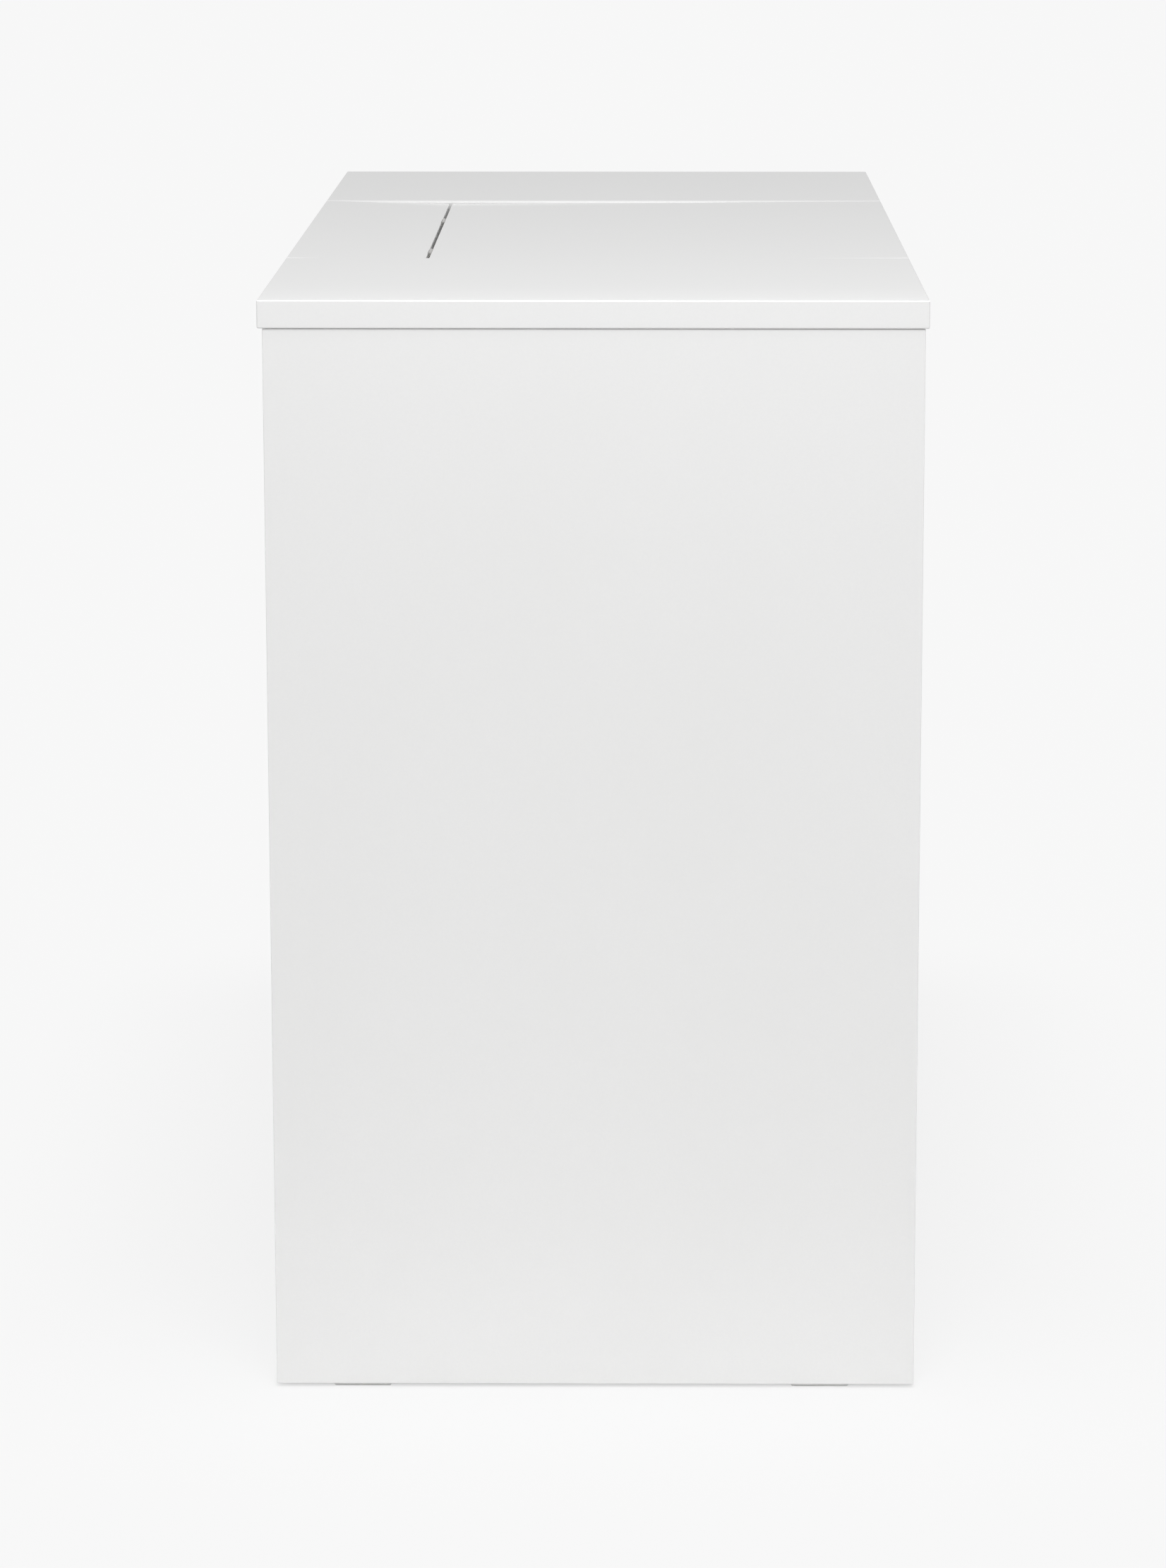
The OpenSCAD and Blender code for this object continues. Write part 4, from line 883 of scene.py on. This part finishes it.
def drawer_cradle():
    """Folded cradle with a rolled top edge, rivets at its corners and screws into the drawer front."""
    refined("drawer_cradle", 0.4 * MM, "_folded")
    low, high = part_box("drawer_cradle")
    base_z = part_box("bin")[0][2] - 2 * MM
    head = rise(0, (3.2, 0), (2.9, 0.7), (1.8, 1.3), (0, 1.5))
    rivets = bmesh.new()
    for side in (-1, 1):
        y = side * high[1]
        out = "y" if side > 0 else "-y"
        for x in (low[0] + 9 * MM, low[0] + 21 * MM, high[0] - 9 * MM, high[0] - 21 * MM):
            for z in (base_z + 14 * MM, base_z + 56 * MM):
                add_lathe(rivets, head, place((x, y, z), out), 20)
    inside = high[0] - 2 * MM
    for y in (-130 * MM, -44 * MM, 44 * MM, 130 * MM):
        for z in (base_z + 95 * MM, base_z + 180 * MM):
            add_screw(rivets, place((inside, y, z), "-x", y), 4 * MM, 1.8 * MM)
    piece("drawer_cradle_rivets", rivets, "drawer", "hinge_steel")


def bin_and_ring():
    """Moulded bin with a rolled rim, upright ribs and a foot, and the ring that clips a bag to it."""
    low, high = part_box("bin")
    centre = move((RAM_X, 0, 0))
    half_x, half_y, corner = (high[0] - low[0]) / 2, (high[1] - low[1]) / 2, 20 * MM
    outside = rise(low[2], (-5, 0), (-2.2, 1.2), (-1.4, 4)) + rise(high[2], (-1.4, -17), (-0.2, -15.5))
    rim = rise(high[2], (0, -14.5), (0, -1), (-1, 0), (-2.2, 0), (-3, -0.8))
    inside = rise(low[2], (-3, 8), (-5, 4.5), (-9, 3))
    bm = bmesh.new()
    loops = []
    for grow, z in outside + rim + inside:
        outline = round_outline(half_x + grow, half_y + grow, corner + grow, 8)
        loops.append([bm.verts.new(centre @ Vector((x, y, z))) for x, y in outline])
    stitch(bm, loops)
    rib_low, rib_high = low[2] + 8 * MM, high[2] - 15 * MM
    for side in (-1, 1):
        for i in range(9):
            x = RAM_X + (i - 4) * 34 * MM
            y0, y1 = sorted((side * (half_y - 2 * MM), side * half_y))
            add_box(bm, (x - 2.5 * MM, y0, rib_low), (x + 2.5 * MM, y1, rib_high), 0.6 * MM, 2)
            y = (i - 4) * 32 * MM
            x0, x1 = sorted((RAM_X + side * (half_x - 2 * MM), RAM_X + side * half_x))
            add_box(bm, (x0, y - 2.5 * MM, rib_low), (x1, y + 2.5 * MM, rib_high), 0.6 * MM, 2)
    stand_in("bin", "_moulded", bm, sharp=30)
    bm = cad_copy("bag_ring", 0.9 * MM)
    ring_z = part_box("bag_ring")[1][2]
    for i in range(4):
        reach = (half_x, half_y)[i % 2]
        low_corner = Vector((reach - 6.2 * MM, -13 * MM, ring_z - 0.6 * MM))
        high_corner = Vector((reach - 0.9 * MM, 13 * MM, ring_z + 1.6 * MM))
        add_box(bm, low_corner, high_corner, 0.7 * MM, 2, centre @ spin(pi / 2 * i))
    stand_in("bag_ring", "_moulded", bm)


def slides():
    """Three-part slides, with the balls that run between their members."""
    for node in ("rails_fixed", "rails_middle", "rails_drawer"):
        refined(node, 0.3 * MM)
    low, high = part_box("rails_middle")
    ball = rise(0, (0, -1), (0.8, -0.6), (1, 0), (0.8, 0.6), (0, 1))
    balls = bmesh.new()
    for side in (-1, 1):
        for dy in (-9.4 * MM, 9.4 * MM):
            for i in range(22):
                x = low[0] + 14 * MM + i * 6 * MM
                for x_at in (x, x + 0.27 * (high[0] - low[0]) + 20 * MM):
                    spot = move((x_at, side * 110 * MM + dy * 0.93, low[2] + 6.2 * MM))
                    add_lathe(balls, ball, spot, 8)
    piece("slide_balls", balls, "slide_middles", "machined_steel", sharp=80)


drawer_cradle()
bin_and_ring()
slides()

# ---------------------------------------------------------------- pedal


def pedal():
    """Pedal lever with a ribbed rubber pad, its bracket and its headed pin."""
    refined("pedal_lever", 0.5 * MM, "_painted")
    low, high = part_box("pedal_lever")
    refined("pedal_bracket", 0.5 * MM)
    refined("pedal_pin", 0.5 * MM)
    rear = high[0] - 44 * MM
    top = low[2] + 7 * MM
    half = (high[1] - low[1]) / 2
    pad = bmesh.new()
    add_box(pad, (rear + 3 * MM, 3 * MM - half, top - 0.4 * MM),
            (high[0] - 3 * MM, half - 3 * MM, top + 1.2 * MM), 0.6 * MM, 2)
    for i in range(6):
        x = rear + 7.5 * MM + i * 6 * MM
        add_box(pad, (x - 1.2 * MM, 6 * MM - half, top + 0.6 * MM),
                (x + 1.2 * MM, half - 6 * MM, top + 2.4 * MM), 0.5 * MM, 2)
    piece("pedal_pad", pad, "pedal", "pedal_paint", "rubber")


def pedal_spring():
    """Smooth coil round the pedal's pin, with one leg down to the base."""
    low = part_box("pedal_spring")[0]
    pin_low, pin_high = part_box("pedal_pin")
    pin = centre_of("pedal_pin")
    wire, turns, per_turn, sides = 0.8 * MM, 5, 24, 8
    coil_r = (pin_high[2] - pin_low[2]) / 2 + 0.4 * MM + wire
    pitch = 2 * wire + 0.1 * MM
    start_y = low[1] + wire
    path = [(0.0, pin[2] - low[2])] + [(360 * i / per_turn, 0.0) for i in range(turns * per_turn + 1)]
    bm = bmesh.new()
    rings = []
    for a, drop in path:
        angle = radians(a)
        ring = []
        for i in range(sides):
            t = 2 * pi * i / sides
            r = coil_r + wire * cos(t)
            y = start_y + pitch * a / 360 + wire * sin(t)
            ring.append(bm.verts.new((pin[0] + r * cos(angle), y, pin[2] + r * sin(angle) - drop)))
        rings.append(ring)
    stitch(bm, rings, flip=True)
    stand_in("pedal_spring", "_wound", bm, sharp=70)


pedal()
pedal_spring()

# ---------------------------------------------------------------- control well

BOX_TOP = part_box("control_box")[1][2]


def control_box():
    """Rounded box with screws in its corners, and the well around it."""
    refined("control_well", 0.6 * MM)
    refined("control_box", 1.2 * MM, segments=3)
    low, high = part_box("control_box")
    screws = bmesh.new()
    for x in (low[0] + 8 * MM, high[0] - 8 * MM):
        for y in (low[1] + 8 * MM, high[1] - 8 * MM):
            add_screw(screws, place((x, y, BOX_TOP - 0.2 * MM), "z", x + y), 2.8 * MM, 1.0 * MM)
    piece("control_box_screws", screws, "cabinet", "hinge_steel")


def dial_print():
    """Ticks and plain numerals round the knob, and a ring round each button, as thin prints."""
    knob = centre_of("cycle_knob")
    ink_low, ink_high = BOX_TOP - 0.05 * MM, BOX_TOP + 0.06 * MM
    bm = bmesh.new()
    for i in range(7):
        turn = radians(45 * i)
        heading = atan2(-sin(turn), -cos(turn))
        add_box(bm, (18.0 * MM, -0.4 * MM, ink_low), (21.5 * MM, 0.4 * MM, ink_high),
                matrix=upright("cycle_knob") @ spin(heading))
    outer, inner = 13.2 * MM, 12.4 * MM
    ring = [(inner, ink_high), (outer, ink_high), (outer, ink_low), (inner, ink_low), (inner, ink_high)]
    for node in ("start_button", "stop_button"):
        add_lathe(bm, ring, upright(node), 48)
    piece("dial_ticks", bm, "cabinet", "control_plastic", "print_ink")
    for i in range(7):
        turn = radians(45 * i)
        curve = bpy.data.curves.new("dial_numeral_curve_%d" % i, "FONT")
        curve.body = str(i)
        curve.size = 5.2 * MM
        curve.align_x = "CENTER"
        curve.align_y = "CENTER"
        curve.extrude = 0.05 * MM
        holder = add_object("dial_numeral_holder_%d" % i, curve)
        bpy.context.view_layer.update()
        numeral = bmesh.new()
        numeral.from_mesh(bpy.data.meshes.new_from_object(holder.evaluated_get(
            bpy.context.evaluated_depsgraph_get())))
        bpy.data.objects.remove(holder)
        x = knob[0] - 25.2 * MM * cos(turn)
        y = knob[1] - 25.2 * MM * sin(turn)
        numeral.transform(place((x, y, BOX_TOP + 0.02 * MM), "z", pi / 2))
        piece("dial_numeral_%d" % i, numeral, "cabinet", "control_plastic", "print_ink", sharp=10)


def buttons():
    """Domed push buttons with a bezel ring set in the box."""
    bezels = bmesh.new()
    for node in ("start_button", "stop_button"):
        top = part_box(node)[1][2]
        skirt = rise(BOX_TOP, (0, -4.3), (10.6, -4.3), (11, -3.9), (11, -2.5), (9, -2.3))
        dome = rise(top, (9, -1.5), (8.55, -0.62), (7.6, -0.25), (6.4, -0.12), (5, -0.4), (3, -0.75),
                    (0, -0.85))
        bm = bmesh.new()
        add_lathe(bm, skirt + dome, upright(node), 48)
        stand_in(node, "_domed", bm, sharp=50)
        bezel = rise(BOX_TOP, (9.35, -0.2), (9.4, 0.7), (9.8, 1), (10.7, 0.8), (11.3, 0.1), (11.3, -0.2))
        add_lathe(bezels, bezel, upright(node), 48)
    piece("button_bezels", bezels, "cabinet", "hinge_steel", sharp=50)


def cycle_knob():
    """Fluted knob with a bevelled crown, a dished top and an inlaid pointer line."""
    low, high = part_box("cycle_knob")
    centre = centre_of("cycle_knob")
    bottom = BOX_TOP + 0.3 * MM
    r, flutes, per_flute = 16 * MM, 18, 8
    bm = bmesh.new()
    rings = []
    skirt = rise(bottom, (0.8, 0), (0.2, 0.5), (0, 1.8), (0.15, 2.3))
    crown = rise(high[2], (0.6, -1.8), (1.3, -0.6), (2.3, 0), (4.2, -0.1), (6.0, -0.9))
    flute_depths = (0, 0, 0, 0.9 * MM, 1.0 * MM, 0.7 * MM, 0.15 * MM, 0, 0)
    for (shrink, z), depth in zip(skirt + crown, flute_depths):
        ring = []
        for i in range(flutes * per_flute):
            a = 2 * pi * i / (flutes * per_flute)
            radius = r - shrink - depth * max(0.0, cos(a * flutes)) ** 1.5
            ring.append(bm.verts.new((centre[0] + radius * cos(a), centre[1] + radius * sin(a), z)))
        rings.append(ring)
    stitch(bm, rings)
    stem = rise(low[2], (0, 0), (2.6, 0), (3, 0.4)) + rise(bottom, (3, 0.3))
    add_lathe(bm, stem, upright("cycle_knob"), 32)
    stand_in("cycle_knob", "_fluted", bm, sharp=40)
    pointer = bmesh.new()
    add_box(pointer, (centre[0] - 13.4 * MM, centre[1] - 0.7 * MM, high[2] - 1.2 * MM),
            (centre[0] - 9.0 * MM, centre[1] + 0.7 * MM, high[2] - 0.02 * MM), 0.2 * MM, 2)
    add_box(pointer, (centre[0] - 9.6 * MM, centre[1] - 0.7 * MM, high[2] - 1.2 * MM),
            (centre[0] - 3.0 * MM, centre[1] + 0.7 * MM, high[2] - 0.7 * MM), 0.2 * MM, 2)
    piece("cycle_knob_pointer", pointer, "knob", "knob_plastic", "print_ink")


def status_lens():
    """Domed green lens in a raised rim."""
    low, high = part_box("status_lens")
    r = (high[0] - low[0]) / 2
    bm = bmesh.new()
    add_lathe(bm, [(0, low[2]), (r - 1 * MM, low[2]), (r - 1 * MM, BOX_TOP - 0.05 * MM), (r, BOX_TOP),
                   (r, BOX_TOP + 0.35 * MM), (r - 0.35 * MM, BOX_TOP + 0.6 * MM),
                   (r - 1.0 * MM, BOX_TOP + 0.7 * MM), (r * 0.68, BOX_TOP + 1.1 * MM),
                   (r * 0.4, high[2] - 0.12 * MM), (0, high[2])], upright("status_lens"), 36)
    stand_in("status_lens", "_domed", bm, sharp=50)


def filter_cassette():
    """Slatted cassette with charcoal behind its slats and a pull tab at its front edge."""
    refined("filter_cassette", 0.5 * MM)
    low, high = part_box("filter_cassette")
    edge, slats, pitch, gap = 10 * MM, 13, 15.7 * MM, 8 * MM
    bed = bmesh.new()
    for i in range(slats):
        y = (low[1] + high[1]) / 2 + (i - (slats - 1) / 2) * pitch
        columns, rows = 60, 6
        points = []
        for a in range(columns + 1):
            x = low[0] + edge + (high[0] - low[0] - 2 * edge) * a / columns
            line = []
            for b in range(rows + 1):
                bump = 0.5 * sin(a * 2.9 + i) * cos(b * 2.3 + i * 1.7)
                bump += 0.3 * sin(a * 5.3 + b * 4.1)
                z = high[2] - 3.0 * MM + 0.7 * MM * bump
                line.append(bed.verts.new((x, y - gap / 2 + gap * b / rows, z)))
            points.append(line)
        stitch(bed, points, closed=False, flip=True)
    piece("filter_charcoal", bed, "cabinet", "filter_plastic", "charcoal", sharp=80)
    tab = bmesh.new()
    add_box(tab, (high[0] - 8.5 * MM, -14 * MM, high[2] - 0.3 * MM),
            (high[0] - 2.5 * MM, 14 * MM, high[2] + 3.2 * MM), 0.9 * MM, 3)
    piece("filter_pull_tab", tab, "cabinet", "filter_plastic")


def power_inlet():
    """Inlet with its two fixing screws and plated blades."""
    refined("power_inlet", 0.5 * MM)
    low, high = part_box("power_inlet")
    _, middle_y, middle_z = centre_of("power_inlet")
    metal = bmesh.new()
    for y in (low[1] + 3 * MM, high[1] - 3 * MM):
        add_screw(metal, place((low[0] + 0.1 * MM, y, middle_z), "-x", 0.3), 2.1 * MM, 0.9 * MM)
    for dy, dz in ((-7 * MM, -2 * MM), (0, 3 * MM), (7 * MM, -2 * MM)):
        add_box(metal, (low[0] + 9.9 * MM, middle_y + dy - 1.05 * MM, middle_z + dz - 2.05 * MM),
                (low[0] + 22 * MM, middle_y + dy + 1.05 * MM, middle_z + dz + 2.05 * MM), 0.3 * MM, 2)
    piece("power_inlet_metal", metal, "cabinet", "hinge_steel")


control_box()
dial_print()
buttons()
cycle_knob()
status_lens()
filter_cassette()
power_inlet()

# ---------------------------------------------------------------- floor, light, camera

WORLD_STRENGTH = 0.66
FLOOR_ALBEDO = 0.80
FLOOR_GLOW = 0.938
GLOW_SHARE_NEAR = 0.87
GLOW_SHARE_FAR = 0.985
GLOW_REACH = 0.35
GLOW_ENDS_UNDER = 0.03
BACKDROP = 0.93
# Lens and sensor in millimetres, shifts as shares of the sensor, the spot in metres, turns in radians
LENS = 100.28
SENSOR_WIDTH = 36.0
CAMERA_SHIFT = (-0.0285, -0.18)
CAMERA_SPOT = (0.0441, -3.8275, 1.2976)
CAMERA_LOOKS_DOWN = 0.1724
CAMERA_TURN = 0.0053


def glow_share(tree):
    """How much of the floor's paper white is its own: less near the footprint, and none far under it."""
    spot = tree.nodes.new("ShaderNodeNewGeometry").outputs["Position"]
    corner = (CAD_BOX[1][0], CAD_BOX[1][1], 0)
    outside = add_node(tree, "VectorMath", {0: spot}, operation="ABSOLUTE").outputs["Vector"]
    beyond = add_node(tree, "VectorMath", {0: outside, 1: corner}, operation="SUBTRACT").outputs["Vector"]
    clear = add_node(tree, "VectorMath", {0: beyond, 1: (0, 0, 0)}, operation="MAXIMUM").outputs["Vector"]
    distance = add_node(tree, "VectorMath", {0: clear}, operation="LENGTH").outputs["Value"]
    fade = add_node(tree, "MapRange", {"Value": distance, "From Max": GLOW_REACH, "To Min": GLOW_SHARE_NEAR,
                                       "To Max": GLOW_SHARE_FAR}, interpolation_type="SMOOTHSTEP")
    apart = add_node(tree, "SeparateXYZ", {"Vector": beyond}).outputs
    deepest = add_node(tree, "Math", {0: apart["X"], 1: apart["Y"]}, operation="MAXIMUM").outputs["Value"]
    under = add_node(tree, "MapRange", {"Value": deepest, "From Min": -GLOW_ENDS_UNDER, "From Max": 0.0})
    shares = {0: fade.outputs["Result"], 1: under.outputs["Result"]}
    return add_node(tree, "Math", shares, operation="MULTIPLY").outputs["Value"]


def seen_by_camera(tree):
    return tree.nodes.new("ShaderNodeLightPath").outputs["Is Camera Ray"]


def make_floor():
    """Wide paper floor that takes soft shadows, with some white of its own for the camera alone."""
    bm = bmesh.new()
    bmesh.ops.create_grid(bm, x_segments=8, y_segments=8, size=30.0)
    mesh = bpy.data.meshes.new("studio_floor")
    bm.to_mesh(mesh)
    bm.free()
    sheet = add_object("studio_floor", mesh)
    mat = bpy.data.materials.new("pale_floor")
    mat.use_nodes = True
    tree = mat.node_tree
    tree.nodes.clear()
    paper = add_node(tree, "BsdfDiffuse", {"Color": (*grey(FLOOR_ALBEDO), 1)}).outputs["BSDF"]
    glow = add_node(tree, "Emission", {"Color": (*grey(FLOOR_GLOW), 1)}).outputs["Emission"]
    share = add_node(tree, "Math", {0: seen_by_camera(tree), 1: glow_share(tree)}, operation="MULTIPLY")
    mix = add_node(tree, "MixShader", {"Fac": share.outputs["Value"], 1: paper, 2: glow})
    add_node(tree, "OutputMaterial", {"Surface": mix.outputs["Shader"]})
    mesh.materials.append(mat)


def make_world(strength):
    """Even light from all round. The camera alone sees it as a paper backdrop."""
    world = bpy.data.worlds.new("soft_studio")
    bpy.context.scene.world = world
    world.use_nodes = True
    tree = world.node_tree
    light = tree.nodes["Background"]
    connect(tree, light, {"Color": (*grey(1.0), 1), "Strength": strength})
    backdrop = add_node(tree, "Background", {"Color": (*grey(BACKDROP), 1), "Strength": 1.0})
    mix = add_node(tree, "MixShader", {"Fac": seen_by_camera(tree), 1: light.outputs["Background"],
                                       2: backdrop.outputs["Background"]})
    connect(tree, tree.nodes["World Output"], {"Surface": mix.outputs["Shader"]})


def make_softbox(name, spot, aim, size, power, spread=180):
    """Soft area lamp at a spot in metres, aimed at a point, its power in watts and its beam in degrees."""
    light = bpy.data.lights.new(name, "AREA")
    light.shape = "RECTANGLE"
    light.size, light.size_y = size
    light.energy = power
    light.spread = radians(spread)
    lamp = add_object(name, light)
    lamp.location = spot
    lamp.rotation_mode = "QUATERNION"
    lamp.rotation_quaternion = (Vector(spot) - Vector(aim)).to_track_quat("Z", "Y")


def make_camera():
    """The photo's view: nearly square on to the near end, from a little above."""
    camera = bpy.data.cameras.new("camera")
    rig = add_object("camera", camera)
    camera.lens = LENS
    camera.sensor_width = SENSOR_WIDTH
    camera.shift_x, camera.shift_y = CAMERA_SHIFT
    rig.location = CAMERA_SPOT
    rig.rotation_euler = (radians(90) - CAMERA_LOOKS_DOWN, 0.0, CAMERA_TURN)
    bpy.context.scene.camera = rig


make_floor()
make_world(WORLD_STRENGTH)
make_softbox("front_softbox", (0.2, -1.7, 2.55), (0.0, -0.3, 0.6), (1.1, 0.8), 27.5)
make_softbox("floor_softbox", (0.0, -0.8, 2.2), (0.0, -0.6, 0.0), (1.2, 0.2), 0.45, spread=16)
make_camera()
bpy.context.scene.view_settings.view_transform = "Standard"
